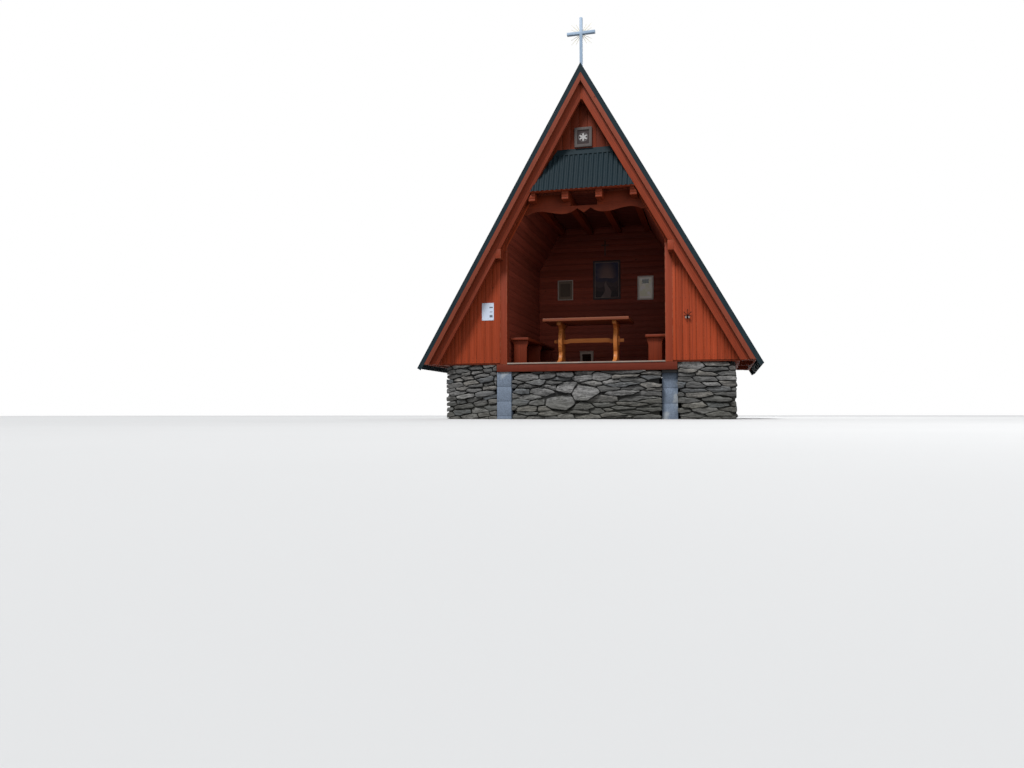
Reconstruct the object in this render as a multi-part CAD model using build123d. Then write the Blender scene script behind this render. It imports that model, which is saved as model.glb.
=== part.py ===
"""A small open-fronted timber chapel with a steep sheet-metal roof on a dry stone plinth.

Millimetres. X runs to the right along the front, Y runs into the building, Z is up.
The origin is under the middle of the roof, at the foot of the plinth.
"""
import os
from math import atan2, cos, sin, tan

from build123d import *

# Heights of the floor, the sill and the ceiling
floor_z = 950
deck_t = 25
sill_h = 125
joist_floor_h = 2675
joist_h = 140

# The roof: outer surface, from the ridge to the eaves
roof_length = 3320
eave_half_width = 2824
eave_drop = 85
ridge_h = 4894
overhang = 296
timber_end_drop = 22

# The roof's layers, from the outside in
flashing_t = 3
sheet_h = 20
sheet_t = 5
batten_h = 36
batten_w = 50
batten_pitch = 400
batten_first = 120
roof_board_t = 24
rafter_h = 185
rafter_t = 70
rib_pitch = 90
rib_top = 26
rib_foot = 46

# The edge of the roof over the gables
flashing_face = 75
flashing_flange = 110
cap_leg = 150
barge_depth = 145
barge_t = 28
verge_rafter_set_back = 60
joint = 2

# The open niche and the posts and purlins beside it
niche_half_width = 1318
post_w = 120
frame_t = 120
purlin_w = 100
purlin_h = 160
purlin_set_out = 58
purlin_seat = 163
ridge_board_x = 20
ridge_board_low = 30
board_t = 22
lining_t = 22
trim_w = 40
trim_proud = 8

# The plinth
plinth_wall_t = 300
plinth_set_back = 40
eaves_plate_proud = 66
pier_w = 250
pier_t = 380
pier_proud = 10
right_pier_set_back = 110
pier_slab_t = 45
block_h = 250
block_groove = 5
plate_h = 100
plate_w = 140
threshold_proud = 12

# The ceiling joists and the scalloped board in front of them
joist_w = 110
joist_pitch = 560
joist_set_back = 95
joist_groove = 6
joist_groove_pitch = 35
floor_joist_count = 4
valance_cusp = 2564
valance_tip = 2486
valance_lobe = 2487
valance_crest = 2534
valance_end = 2492
valance_cusp_x = 115
valance_lobe_x = 428
valance_crest_x = 664
valance_end_x = 953
valance_recess_drop = 40

# The small roof over the front
pent_low = 2827
pent_high = 3543
pent_set_back = 22
pent_board_t = 20
pent_plate_h = 30
pent_plate_w = 60
pent_clear = 3
apron_leg = 90
apron_upstand = 20
apron_t = 2

# The cross on the ridge
cross_h = 784
cross_arm_drop = 258
cross_half_span = 234
cross_bar = 46
cross_t = 58
cross_set_back = 70
ray_length = 238
side_ray_length = 195
ray_spread = 17
ray_root = 9
ray_tip = 2
ray_t = 4
ray_hub = 24

# The table
table_x = -63
table_length = 1494
table_depth = 830
table_z = 790
table_t = 50
table_corner = 12
table_set_back = 478
trestle_t = 65
trestle_spacing = 965
trestle_foot = 620
trestle_waist = 260
trestle_foot_h = 60
trestle_head_h = 60
trestle_ankle_h = 220
trestle_hip_h = 190
trestle_swell = 55
trestle_instep = 35
stretcher_z = 420
stretcher_h = 90
stretcher_t = 40
stretcher_shoulder = 60
tenon_h = 60
tenon_length = 100
wedge_w = 24
wedge_t = 16
wedge_h = 160
wedge_drop = 5

# The benches
bench_w = 333
bench_z = 440
bench_t = 45
bench_set_back = 150
bench_length = 2250
bench_support_t = 50
bench_support_inset = 60
bench_flare_h = 110
bench_flare_bend = 60
bench_front_margin = 22
bench_back_margin = 12
bench_front_taper = 22
bench_back_taper = 55
bench_front_belly = 4
bench_back_belly = 46

# What hangs on the walls
altar_picture_size = (536, 768)
altar_picture_place = (32, 1766)
altar_picture_frame = (24, 36, 8)
left_notice_size = (306, 396)
left_notice_inset = 526
left_notice_up = 1593
left_notice_frame = (18, 14, 5)
right_notice_size = (306, 466)
right_notice_inset = 534
right_notice_up = 1582
right_notice_frame = (18, 22, 5)
gable_picture_size = (290, 330)
gable_picture_place = (0, 3742)
gable_picture_frame = (40, 46, 14)
wall_cross_size = (150, 300)
wall_cross_z = 2400
wall_cross_bar = 22
wall_cross_t = 14
wall_cross_arm = 54
vent_size = (262, 300)
vent_place = (-372, 211)
vent_bar = 44
vent_t = 16
ledge_h = 14
ledge_proud = 34
ledge_reach = 8
sheet_size = (210, 297)
sheet_place = (-1656, 879)
sheet_paper_t = 2

# The iron bracket on the right wing
bracket_place = (1672, 693)
bracket_plate = (34, 62, 6)
bracket_reach = 40
bracket_hub = 14
prong_count = 5
prong_first = 12
prong_length = 130
side_prong_length = 92
prong_root = 10
prong_belly = 26
prong_t = 8
cup_spacing = 62
cup_radius = 14
cup_h = 38
cup_drop = 20

# Heights and places that follow
front_y = -roof_length / 2
wall_y = front_y + overhang
rear_y = -wall_y
barge_back_y = front_y + flashing_t + barge_t
rafter_front_y = barge_back_y + verge_rafter_set_back
joist_front_y = front_y + joist_set_back
niche_back_y = rear_y - board_t - frame_t - lining_t
ridge_z = floor_z + ridge_h
eave_z = floor_z - eave_drop
timber_end_z = floor_z - timber_end_drop
sill_top = floor_z - deck_t
sill_foot = sill_top - sill_h
joist_z = floor_z + joist_floor_h
joist_top = joist_z + joist_h
pitch = atan2(ridge_z - eave_z, eave_half_width)
slope_length = (ridge_z - eave_z) / sin(pitch)

# Depths under the roof's outer surface
sheet_depth = 2 * flashing_t
batten_depth = sheet_depth + sheet_h
board_depth = batten_depth + batten_h
rafter_depth = board_depth + roof_board_t
rafter_foot = rafter_depth + rafter_h
lining_depth = rafter_foot + lining_t
trim_depth = lining_depth - trim_w


def roof_x(z, depth):
    """Half width at a height, of the plane that lies a depth under the roof's surface."""
    return eave_half_width - (z - eave_z) / tan(pitch) - depth / sin(pitch)


def roof_z(x, depth):
    """Height above a place, of the plane that lies a depth under the roof's surface."""
    return ridge_z - x * tan(pitch) - depth / cos(pitch)


# Places that follow from the planes of the roof
post_x = niche_half_width + post_w
purlin_in = niche_half_width + purlin_set_out
purlin_out = purlin_in + purlin_w
purlin_top = roof_z(purlin_out, rafter_foot) + purlin_seat
post_top = purlin_top - purlin_h
plate_out = roof_x(sill_top, rafter_foot)
plinth_half_width = plate_out - eaves_plate_proud
plinth_face_y = wall_y + plinth_set_back
plinth_rear_y = rear_y - plinth_set_back
pier_out = post_x + (pier_w - post_w) / 2
pier_in = pier_out - pier_w
ridge_board_foot = roof_z(0, rafter_foot) - ridge_board_low
ridge_board_top = roof_z(ridge_board_x, rafter_depth)


def box(x0, x1, y0, y1, z0, z1):
    """A block between two corners."""
    return Pos((x0 + x1) / 2, (y0 + y1) / 2, (z0 + z1) / 2) * Box(x1 - x0, y1 - y0, z1 - z0)


def front_plane(y):
    """The plane of an outline that is drawn as seen from the front."""
    return Plane(origin=(0, y, 0), x_dir=(1, 0, 0), z_dir=(0, -1, 0))


def plate_y(points, y0, y1):
    """A plate whose outline is drawn as seen from the front, between two depths."""
    return extrude(front_plane(y1) * make_face(Polyline(*points, close=True)), y1 - y0)


def plate_x(points, x0, x1):
    """A plate whose outline is drawn as seen from the side, between two widths."""
    face = make_face(Polyline(*points, close=True))
    return extrude(Plane(origin=(x0, 0, 0), x_dir=(0, 1, 0), z_dir=(1, 0, 0)) * face, x1 - x0)


def other_side(shape):
    """The same piece on the left of the building."""
    return mirror(shape, about=Plane.YZ)


def other_end(shape):
    """The same piece at the back of the building."""
    return mirror(shape, about=Plane.XZ)


def slope(outer, inner, foot_z, y0, y1, start=0.0):
    """A plate in the right slope of the roof, plumb at the ridge and level at the foot."""
    points = [
        (start, roof_z(start, outer)),
        (roof_x(foot_z, outer), foot_z),
        (roof_x(foot_z, inner), foot_z),
        (start, roof_z(start, inner)),
    ]
    return plate_y(points, y0, y1)


def on_slope(distance, depth):
    """X and Z of a point a distance down the right slope and a depth under its surface."""
    x = distance * cos(pitch) - depth * sin(pitch)
    return x, ridge_z - distance * sin(pitch) - depth * cos(pitch)


def metal_slope(outer, inner, y0, y1):
    """A plate in the right slope, plumb at the ridge and cut square at the eaves."""
    points = [
        (0, roof_z(0, outer)), on_slope(slope_length, outer),
        on_slope(slope_length, inner), (0, roof_z(0, inner)),
    ]
    return plate_y(points, y0, y1)


def write(name, *shapes):
    """Writes one sub-part, as one solid or as solids that stand apart."""
    shape = shapes[0] if len(shapes) == 1 else Compound(children=list(shapes))
    export_step(shape, f"parts/{name}.step")


def plinth():
    """Walls of dry stone under the wings, the sides, the back and the niche."""
    inner = plinth_face_y + plinth_wall_t
    rear_inner = plinth_rear_y - plinth_wall_t
    side_in = plinth_half_width - plinth_wall_t
    wing = box(pier_out, plinth_half_width, plinth_face_y, inner, 0, sill_top)
    side = box(side_in, plinth_half_width, inner, rear_inner, 0, sill_top)
    write("plinth_front_right", wing)
    write("plinth_front_left", other_side(wing))
    write("plinth_right", side)
    write("plinth_left", other_side(side))
    write("plinth_front_centre", box(-pier_in, pier_in, plinth_face_y, inner, 0, sill_foot))
    back = box(-plinth_half_width, plinth_half_width, rear_inner, plinth_rear_y, 0, sill_foot)
    write("plinth_back", back)


def pier(front, top):
    """The right pier: cast blocks with a groove along each joint."""
    rear = plinth_face_y - pier_proud + pier_t
    column = box(pier_in, pier_out, front, rear, 0, top)
    level = top - block_h
    while level > block_groove:
        low = level - block_groove
        high = level + block_groove
        groove = box(pier_in, pier_out, front, rear, low, high)
        core = box(
            pier_in + block_groove, pier_out - block_groove,
            front + block_groove, rear - block_groove, low, high,
        )
        column -= groove - core
        level -= block_h
    return column


def piers():
    """Two concrete piers; the right one stands back, under a flat stone."""
    front = plinth_face_y - pier_proud
    right_front = front + right_pier_set_back
    slab_foot = sill_foot - pier_slab_t
    write("concrete_piers", other_side(pier(front, sill_foot)), pier(right_front, slab_foot))
    slab = box(pier_in, pier_out, front, front + pier_t, slab_foot, sill_foot)
    write("pier_slab", slab)


def floor_frame():
    """Sill beams on the piers, floor joists between them, floor boards and the threshold."""
    sill_back = wall_y + frame_t
    rear_front = plinth_rear_y - frame_t
    write("front_sill_beam", box(-pier_out, pier_out, wall_y, sill_back, sill_foot, sill_top))
    back_beam = box(-plinth_half_width, plinth_half_width, rear_front, plinth_rear_y, sill_foot, sill_top)
    write("back_sill_beam", back_beam)
    reach = niche_half_width - joist_w / 2
    joists = []
    for i in range(floor_joist_count):
        x = -reach + 2 * reach * i / (floor_joist_count - 1)
        joists.append(box(x - joist_w / 2, x + joist_w / 2, sill_back, rear_front, sill_foot, sill_top))
    write("floor_joists", *joists)
    front = wall_y - threshold_proud
    write("threshold", box(-niche_half_width, niche_half_width, front, sill_back, sill_top, floor_z))
    boards = box(-niche_half_width, niche_half_width, sill_back, niche_back_y, sill_top, floor_z)
    write("floor_boards", boards)


def wall_frame():
    """Sole plates and eaves plates on the plinth, posts, purlins and the ridge board."""
    top = sill_top + plate_h
    plate_in = plate_out - plate_w
    front_in = wall_y + board_t
    front = box(post_x, plate_in, front_in, front_in + plate_h, sill_top, top)
    write("sole_plates", front, other_side(front), other_end(front), other_side(other_end(front)))
    eaves = box(plate_in, plate_out, front_in, -front_in, sill_top, top)
    write("eaves_plates", eaves, other_side(eaves))

    purlin = box(purlin_in, purlin_out, rafter_front_y, -rafter_front_y, post_top, purlin_top)
    write("purlins", purlin, other_side(purlin))
    front_post = box(niche_half_width, post_x, wall_y, front_in + frame_t, sill_top, purlin_top)
    rear_post = box(niche_half_width, post_x, -front_in - frame_t, -front_in, sill_top, purlin_top)
    posts = [front_post - purlin, rear_post - purlin]
    write("corner_posts", *posts, *[other_side(post) for post in posts])
    beam = box(
        -ridge_board_x, ridge_board_x, rafter_front_y, -rafter_front_y, ridge_board_foot, ridge_board_top
    )
    write("ridge_board", beam)
    return purlin, (purlin, eaves, *posts)


def rafters(held):
    """Pairs of rafters, notched over the purlins, the posts and the eaves plates."""

    def pair(y0):
        right = slope(rafter_depth, rafter_foot, timber_end_z, y0, y0 + rafter_t, ridge_board_x)
        for piece in held:
            right -= piece
        return [right, other_side(right)]

    write("verge_rafters", *pair(rafter_front_y), *pair(-rafter_front_y - rafter_t))
    inner = []
    for y0 in (wall_y + board_t, -rafter_t / 2, rear_y - board_t - rafter_t):
        inner += pair(y0)
    write("inner_rafters", *inner)


def ribbed_sheet(width, length, plane):
    """Metal sheet with trapezoid ribs that run down the slope; the plane's Y points outwards."""
    count = int(width / rib_pitch)
    margin = (width - count * rib_pitch) / 2
    points = [(0, 0), (0, sheet_t)]
    for i in range(count):
        middle = margin + rib_pitch * (i + 0.5)
        points += [
            (middle - rib_foot / 2, sheet_t),
            (middle - rib_top / 2, sheet_h),
            (middle + rib_top / 2, sheet_h),
            (middle + rib_foot / 2, sheet_t),
        ]
    points += [(width, sheet_t), (width, 0)]
    return extrude(plane * make_face(Polyline(*points, close=True)), length)


def roof():
    """Boards, battens and ribbed sheet on both slopes, with ridge cap, flashings and barge boards."""
    length = -2 * barge_back_y
    boards = slope(board_depth, rafter_depth, timber_end_z, barge_back_y, -barge_back_y, joint / 2)
    write("roof_boards_right", boards)
    write("roof_boards_left", other_side(boards))

    down = (cos(pitch), 0, -sin(pitch))
    battens = []
    place = batten_first
    while place < slope_length - batten_first:
        x, z = on_slope(place, board_depth)
        plane = Plane(origin=(x, -barge_back_y, z), x_dir=down, z_dir=(0, -1, 0))
        batten = extrude(plane * Rectangle(batten_w, batten_h, align=(Align.CENTER, Align.MIN)), length)
        battens += [batten, other_side(batten)]
        place += batten_pitch
    write("roof_battens", *battens)

    inside = front_y + flashing_t
    sheet_start = 2 * sheet_h * tan(pitch)
    x, z = on_slope(sheet_start, batten_depth)
    plane = Plane(origin=(x, inside, z), x_dir=(0, 1, 0), z_dir=down)
    sheet = ribbed_sheet(-2 * inside, slope_length - sheet_start, plane)
    write("roof_sheet_right", sheet)
    write("roof_sheet_left", other_side(sheet))

    cap = slope(0, flashing_t, ridge_z - cap_leg * sin(pitch), inside, -inside)
    write("ridge_cap", cap + other_side(cap))

    face = metal_slope(0, flashing_face, front_y, inside)
    flange = metal_slope(flashing_t, sheet_depth, inside, inside + flashing_flange)
    flashing = face + flange
    flashing = flashing + other_side(flashing)
    write("verge_flashings", flashing, other_end(flashing))

    barge = slope(batten_depth, barge_depth, timber_end_z, inside, barge_back_y, joint / 2)
    rear_barge = other_end(barge)
    write("barge_boards", barge, other_side(barge), rear_barge, other_side(rear_barge))


def front_walls(purlin):
    """Boarded wings beside the niche, the gable over it and the edge trim."""
    back = wall_y + board_t
    wing = plate_y(
        [
            (post_x, floor_z),
            (roof_x(floor_z, rafter_depth), floor_z),
            (roof_x(joist_top, rafter_depth), joist_top),
            (roof_x(joist_top, trim_depth), joist_top),
            (niche_half_width, roof_z(niche_half_width, trim_depth)),
            (niche_half_width, purlin_top),
            (post_x, purlin_top),
        ],
        wall_y, back,
    )
    wing -= purlin
    write("front_wall_right", wing)
    write("front_wall_left", other_side(wing))
    trim = plate_y(
        [
            (niche_half_width, roof_z(niche_half_width, lining_depth)),
            (niche_half_width, roof_z(niche_half_width, trim_depth)),
            (roof_x(joist_top, trim_depth), joist_top),
            (roof_x(joist_top, lining_depth), joist_top),
        ],
        wall_y - trim_proud, back,
    )
    write("opening_trim", trim, other_side(trim))
    half = roof_x(joist_top, rafter_depth)
    gable = plate_y(
        [
            (-half, joist_top), (half, joist_top),
            (ridge_board_x, ridge_board_top), (-ridge_board_x, ridge_board_top),
        ],
        wall_y, back,
    )
    gable -= box(-ridge_board_x, ridge_board_x, wall_y, back, ridge_board_foot, ridge_board_top)
    write("front_gable", gable)


def back_wall(purlin):
    """The boarded back, from the floor to the ridge, round the purlins and the ridge board."""
    half = roof_x(floor_z, rafter_depth)
    front = rear_y - board_t
    wall = plate_y(
        [
            (-half, floor_z), (half, floor_z),
            (ridge_board_x, ridge_board_top), (-ridge_board_x, ridge_board_top),
        ],
        front, rear_y,
    )
    wall -= box(-ridge_board_x, ridge_board_x, front, rear_y, ridge_board_foot, ridge_board_top)
    wall = wall - purlin - other_side(purlin)
    write("back_wall", wall)


def niche():
    """Linings, the back with its vent hole, ceiling joists and ceiling boards."""
    behind_post = wall_y + board_t + frame_t
    outer_x = niche_half_width + lining_t
    upright = plate_y(
        [
            (niche_half_width, floor_z), (outer_x, floor_z),
            (outer_x, roof_z(outer_x, lining_depth)),
            (niche_half_width, roof_z(niche_half_width, lining_depth)),
        ],
        behind_post, niche_back_y,
    )
    sloped = plate_y(
        [
            (outer_x, roof_z(outer_x, lining_depth)), (outer_x, roof_z(outer_x, rafter_foot)),
            (roof_x(joist_top, rafter_foot), joist_top), (roof_x(joist_top, lining_depth), joist_top),
        ],
        behind_post, niche_back_y,
    )
    write("niche_linings", upright, other_side(upright), sloped, other_side(sloped))

    wide = roof_x(joist_top, rafter_foot)
    bend = roof_z(outer_x, rafter_foot)
    back = plate_y(
        [
            (-outer_x, floor_z), (outer_x, floor_z), (outer_x, bend),
            (wide, joist_top), (-wide, joist_top), (-outer_x, bend),
        ],
        niche_back_y, niche_back_y + lining_t,
    )
    write("niche_back", back - vent_hole(niche_back_y, niche_back_y + lining_t))

    room = plate_y(
        [
            (-roof_x(joist_z, lining_depth), joist_z), (roof_x(joist_z, lining_depth), joist_z),
            (roof_x(joist_top, lining_depth), joist_top), (-roof_x(joist_top, lining_depth), joist_top),
        ],
        joist_front_y, niche_back_y,
    )
    joists = []
    for step in (-1.5, -0.5, 0.5, 1.5):
        left = joist_pitch * step - joist_w / 2
        joist = room & box(left, left + joist_w, joist_front_y, niche_back_y, joist_z, joist_top)
        for z in (joist_z + joist_groove_pitch, joist_top - joist_groove_pitch):
            groove_back = joist_front_y + joist_groove
            low = z - joist_groove
            joist -= box(left, left + joist_w, joist_front_y, groove_back, low, low + 2 * joist_groove)
        joists.append(joist)
    write("ceiling_joists", *joists)
    ceiling_top = joist_top + lining_t
    reach = roof_x(ceiling_top, rafter_foot)
    write("ceiling_boards", box(-reach, reach, wall_y + board_t, niche_back_y, joist_top, ceiling_top))
    valance(joists)


def valance(joists):
    """The board across the head of the niche, with lobes, cusps and a pointed drop below."""
    cusp = floor_z + valance_cusp
    end_z = floor_z + valance_end
    end = roof_x(end_z, lining_depth)
    head = roof_x(joist_top, lining_depth)
    wave = Spline(
        (valance_cusp_x, cusp),
        (valance_lobe_x, floor_z + valance_lobe),
        (valance_crest_x, floor_z + valance_crest),
        (valance_end_x, end_z),
    )
    outline = [
        Line((0, floor_z + valance_tip), (valance_cusp_x, cusp)),
        wave,
        Line((valance_end_x, end_z), (end, end_z)),
        Line((end, end_z), (head, joist_top)),
        Line((head, joist_top), (0, joist_top)),
        Line((0, joist_top), (0, floor_z + valance_tip)),
    ]
    right = extrude(front_plane(wall_y + board_t) * make_face(outline), board_t)
    board = right + other_side(right)
    for joist in joists:
        board -= joist
    bay = (joist_pitch - joist_w) / 2
    recess = box(-bay, bay, wall_y, wall_y + board_t, cusp + valance_recess_drop, joist_top)
    write("valance_board", board - recess)


def pent_roof():
    """The small ribbed roof between the verge rafters, with its boards, plate and apron."""
    low_z = floor_z + pent_low
    high_z = floor_z + pent_high
    low_y = front_y + pent_set_back
    lean = atan2(high_z - low_z, wall_y - low_y)
    length = (high_z - low_z) / sin(lean)
    half = roof_x(joist_top, rafter_foot)
    foot = joist_top - pent_plate_h
    head = high_z + pent_plate_w

    def line_y(z, depth):
        """Y at a height, of the plane that lies a depth under the small roof's surface."""
        return low_y + (z - low_z) / tan(lean) + depth / sin(lean)

    def line_z(depth):
        """Height at the wall of the plane that lies a depth under the small roof's surface."""
        return high_z - depth / cos(lean)

    def trimmed(shape):
        points = [
            (-roof_x(foot, rafter_foot) + pent_clear, foot), (roof_x(foot, rafter_foot) - pent_clear, foot),
            (roof_x(head, rafter_foot) - pent_clear, head), (-roof_x(head, rafter_foot) + pent_clear, head),
        ]
        return shape & plate_y(points, front_y, wall_y)

    origin = (-half, wall_y + sin(lean) * sheet_h, high_z - cos(lean) * sheet_h)
    plane = Plane(origin=origin, x_dir=(1, 0, 0), z_dir=(0, -cos(lean), -sin(lean)))
    write("pent_roof_sheet", trimmed(ribbed_sheet(2 * half, length, plane)))

    back_depth = sheet_h + pent_board_t
    boards = plate_x(
        [
            (line_y(joist_top, sheet_h), joist_top), (line_y(joist_top, back_depth), joist_top),
            (wall_y, line_z(back_depth)), (wall_y, line_z(sheet_h)),
        ],
        -half, half,
    )
    write("pent_roof_boards", trimmed(boards))

    plate_top = joist_top + pent_plate_h
    plate = plate_x(
        [
            (line_y(joist_top, back_depth), joist_top), (joist_front_y + pent_plate_w, joist_top),
            (joist_front_y + pent_plate_w, plate_top), (line_y(plate_top, back_depth), plate_top),
        ],
        -half, half,
    )
    write("pent_fascia", trimmed(plate))

    low = high_z - apron_leg * sin(lean)
    apron = plate_x(
        [
            (wall_y, high_z), (line_y(low, 0), low),
            (line_y(low, 0) - apron_t * sin(lean), low + apron_t * cos(lean)),
            (wall_y - apron_t, high_z + apron_t / cos(lean) - apron_t * tan(lean)),
            (wall_y - apron_t, high_z + apron_upstand), (wall_y, high_z + apron_upstand),
        ],
        -half, half,
    )
    write("pent_apron", trimmed(apron))


def ridge_cross():
    """The metal cross on the ridge, with three thin rays behind it in each of its corners."""
    y0 = front_y + cross_set_back
    top = ridge_z + cross_h
    centre = top - cross_arm_drop
    half = cross_bar / 2
    upright = box(-half, half, y0, y0 + cross_t, roof_z(half, 0), top)
    ridge = plate_y(
        [(-cross_bar, roof_z(cross_bar, 0)), (cross_bar, roof_z(cross_bar, 0)), (0, ridge_z)],
        y0, y0 + cross_t,
    )
    arms = box(-cross_half_span, cross_half_span, y0, y0 + cross_t, centre - half, centre + half)
    write("ridge_cross", (upright - ridge) + arms)
    ray_y = y0 + cross_t + ray_t
    rays = Pos(0, ray_y - ray_t / 2, centre) * Rot(90, 0, 0) * Cylinder(ray_hub, ray_t)
    for quarter in range(4):
        for step in (-1, 0, 1):
            reach = side_ray_length if step else ray_length
            outline = [(0, -ray_root / 2), (reach, -ray_tip / 2), (reach, ray_tip / 2), (0, ray_root / 2)]
            ray = make_face(Polyline(*outline, close=True))
            turn = Rot(0, 0, 45 + 90 * quarter + ray_spread * step)
            rays += extrude(front_plane(ray_y) * Pos(0, centre, 0) * turn * ray, ray_t)
    write("cross_rays", rays)


def table():
    """A trestle table: shaped planks, a stretcher with wedged tenons and a thick top."""
    y0 = wall_y + table_set_back
    y1 = y0 + table_depth
    top_z = floor_z + table_z
    under = top_z - table_t
    x0 = table_x - table_length / 2
    slab = box(x0, x0 + table_length, y0, y1, under, top_z)
    write("table_top", fillet(slab.edges().filter_by(Axis.Z), table_corner))

    middle = (y0 + y1) / 2
    foot = middle + trestle_foot / 2
    waist = middle + trestle_waist / 2
    toe = floor_z + trestle_foot_h
    ankle = floor_z + trestle_ankle_h
    hip = floor_z + stretcher_z
    chest = hip + trestle_hip_h
    head = under - trestle_head_h
    outline = [
        Line((middle, floor_z), (foot, floor_z)),
        Line((foot, floor_z), (foot, toe)),
        ThreePointArc((foot, toe), (waist + trestle_instep, (toe + ankle) / 2 - 30), (waist, ankle)),
        ThreePointArc((waist, ankle), (waist + trestle_swell, (ankle + chest) / 2), (waist, chest)),
        ThreePointArc((waist, chest), (waist + trestle_instep, (chest + head) / 2 + 5), (foot, head)),
        Line((foot, head), (foot, under)),
        Line((foot, under), (middle, under)),
        Line((middle, under), (middle, floor_z)),
    ]
    half = make_face(outline)
    tenon = tenon_h / 2
    trestles = []
    for side in (-1, 1):
        x = table_x + side * trestle_spacing / 2 - trestle_t / 2
        plane = Plane(origin=(x, 0, 0), x_dir=(0, 1, 0), z_dir=(1, 0, 0))
        plank = extrude(plane * half, trestle_t)
        plank = plank + mirror(plank, about=Plane.XZ.offset(-middle))
        plank -= box(
            x, x + trestle_t, middle - stretcher_t / 2, middle + stretcher_t / 2, hip - tenon, hip + tenon
        )
        trestles.append(plank)
    write("table_trestles", *trestles)

    inner = (trestle_spacing - trestle_t) / 2
    reach = inner + trestle_t + tenon_length
    high = stretcher_h / 2
    first = inner - stretcher_shoulder
    second = first - stretcher_shoulder
    lower = [(inner, -tenon), (inner, -high), (first, -high), (second, -tenon)]
    upper = [(second, high), (first, tenon)]
    right = [(reach, -tenon), (reach, tenon)] + upper[::-1]
    left = [(-px, pz) for px, pz in upper] + [(-reach, tenon), (-reach, -tenon)]
    outline = right + left + [(-px, pz) for px, pz in lower] + lower[::-1]
    points = [(table_x + px, hip + pz) for px, pz in outline]
    bar = plate_y(points, middle - stretcher_t / 2, middle + stretcher_t / 2)
    for side in (-1, 1):
        x = table_x + side * (inner + trestle_t + wedge_w / 2)
        low = hip - wedge_h / 2 - wedge_drop
        wedge = box(x - wedge_w / 2, x + wedge_w / 2, -wedge_t / 2, wedge_t / 2, low, low + wedge_h)
        bar += Pos(0, middle, 0) * wedge
    write("table_stretcher", bar)


def benches():
    """A plank seat along each side wall, on shaped boards that stand across it."""
    y0 = wall_y + bench_set_back
    y1 = y0 + bench_length
    inner = niche_half_width - bench_w
    top_z = floor_z + bench_z
    under = top_z - bench_t
    seat = box(inner, niche_half_width, y0, y1, under, top_z)
    write("bench_seats", seat, other_side(seat))
    near = inner + bench_front_margin
    far = niche_half_width - bench_back_margin
    near_foot = near + bench_front_taper
    far_foot = far - bench_back_taper
    neck = under - bench_flare_h
    bend = under - bench_flare_bend
    outline = [
        ThreePointArc((near, under), (near + bench_front_belly, bend), (near_foot, neck)),
        Line((near_foot, neck), (near_foot, floor_z)),
        Line((near_foot, floor_z), (far_foot, floor_z)),
        Line((far_foot, floor_z), (far_foot, neck)),
        ThreePointArc((far_foot, neck), (far - bench_back_belly, bend), (far, under)),
        Line((far, under), (near, under)),
    ]
    face = make_face(outline)
    last = y1 - bench_support_inset - bench_support_t
    supports = []
    for y in (y0 + bench_support_inset, (y0 + y1) / 2, last):
        board = extrude(front_plane(y + bench_support_t) * face, bench_support_t)
        supports += [board, other_side(board)]
    write("bench_supports", *supports)


def framed(name, size, place, frame, wall):
    """A picture frame on a wall that faces the front, with its panel set in."""
    w, h = size
    x = place[0]
    z = floor_z + place[1]
    proud, bar, panel_set_back = frame
    y0 = wall - proud
    block = box(x - w / 2, x + w / 2, y0, wall, z - h / 2, z + h / 2)
    hole = box(
        x - w / 2 + bar, x + w / 2 - bar, y0, y0 + panel_set_back, z - h / 2 + bar, z + h / 2 - bar
    )
    write(name, block - hole)


def vent_hole(y0, y1):
    """The clear opening inside the vent's frame."""
    x = vent_place[0]
    z = floor_z + vent_place[1]
    half_w = vent_size[0] / 2 - vent_bar
    half_h = vent_size[1] / 2 - vent_bar
    return box(x - half_w, x + half_w, y0, y1, z - half_h, z + half_h)


def vent():
    """The vent's wooden frame, with a small ledge over it."""
    x = vent_place[0]
    z = floor_z + vent_place[1]
    half_w = vent_size[0] / 2
    half_h = vent_size[1] / 2
    front = niche_back_y - vent_t
    frame = box(x - half_w, x + half_w, front, niche_back_y, z - half_h, z + half_h)
    reach = half_w + ledge_reach
    top = z + half_h
    frame += box(x - reach, x + reach, niche_back_y - ledge_proud, niche_back_y, top, top + ledge_h)
    write("vent_frame", frame - vent_hole(front, niche_back_y))


def wall_things():
    """Pictures, notices, a plain cross and a sheet of paper."""
    framed("altar_picture", altar_picture_size, altar_picture_place, altar_picture_frame, niche_back_y)
    left_place = (left_notice_inset - niche_half_width, left_notice_up)
    right_place = (niche_half_width - right_notice_inset, right_notice_up)
    framed("notice_left", left_notice_size, left_place, left_notice_frame, niche_back_y)
    framed("notice_right", right_notice_size, right_place, right_notice_frame, niche_back_y)
    framed("gable_picture", gable_picture_size, gable_picture_place, gable_picture_frame, wall_y)
    w, h = wall_cross_size
    z = floor_z + wall_cross_z
    half = wall_cross_bar / 2
    front = niche_back_y - wall_cross_t
    arm = z + wall_cross_arm
    cross = box(-half, half, front, niche_back_y, z - h / 2, z + h / 2)
    cross += box(-w / 2, w / 2, front, niche_back_y, arm - half, arm + half)
    write("wall_cross", cross)
    sheet_w, sheet_length = sheet_size
    x = sheet_place[0] - sheet_w / 2
    z = floor_z + sheet_place[1] - sheet_length / 2
    write("notice_sheet", box(x, x + sheet_w, wall_y - sheet_paper_t, wall_y, z, z + sheet_length))


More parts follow.
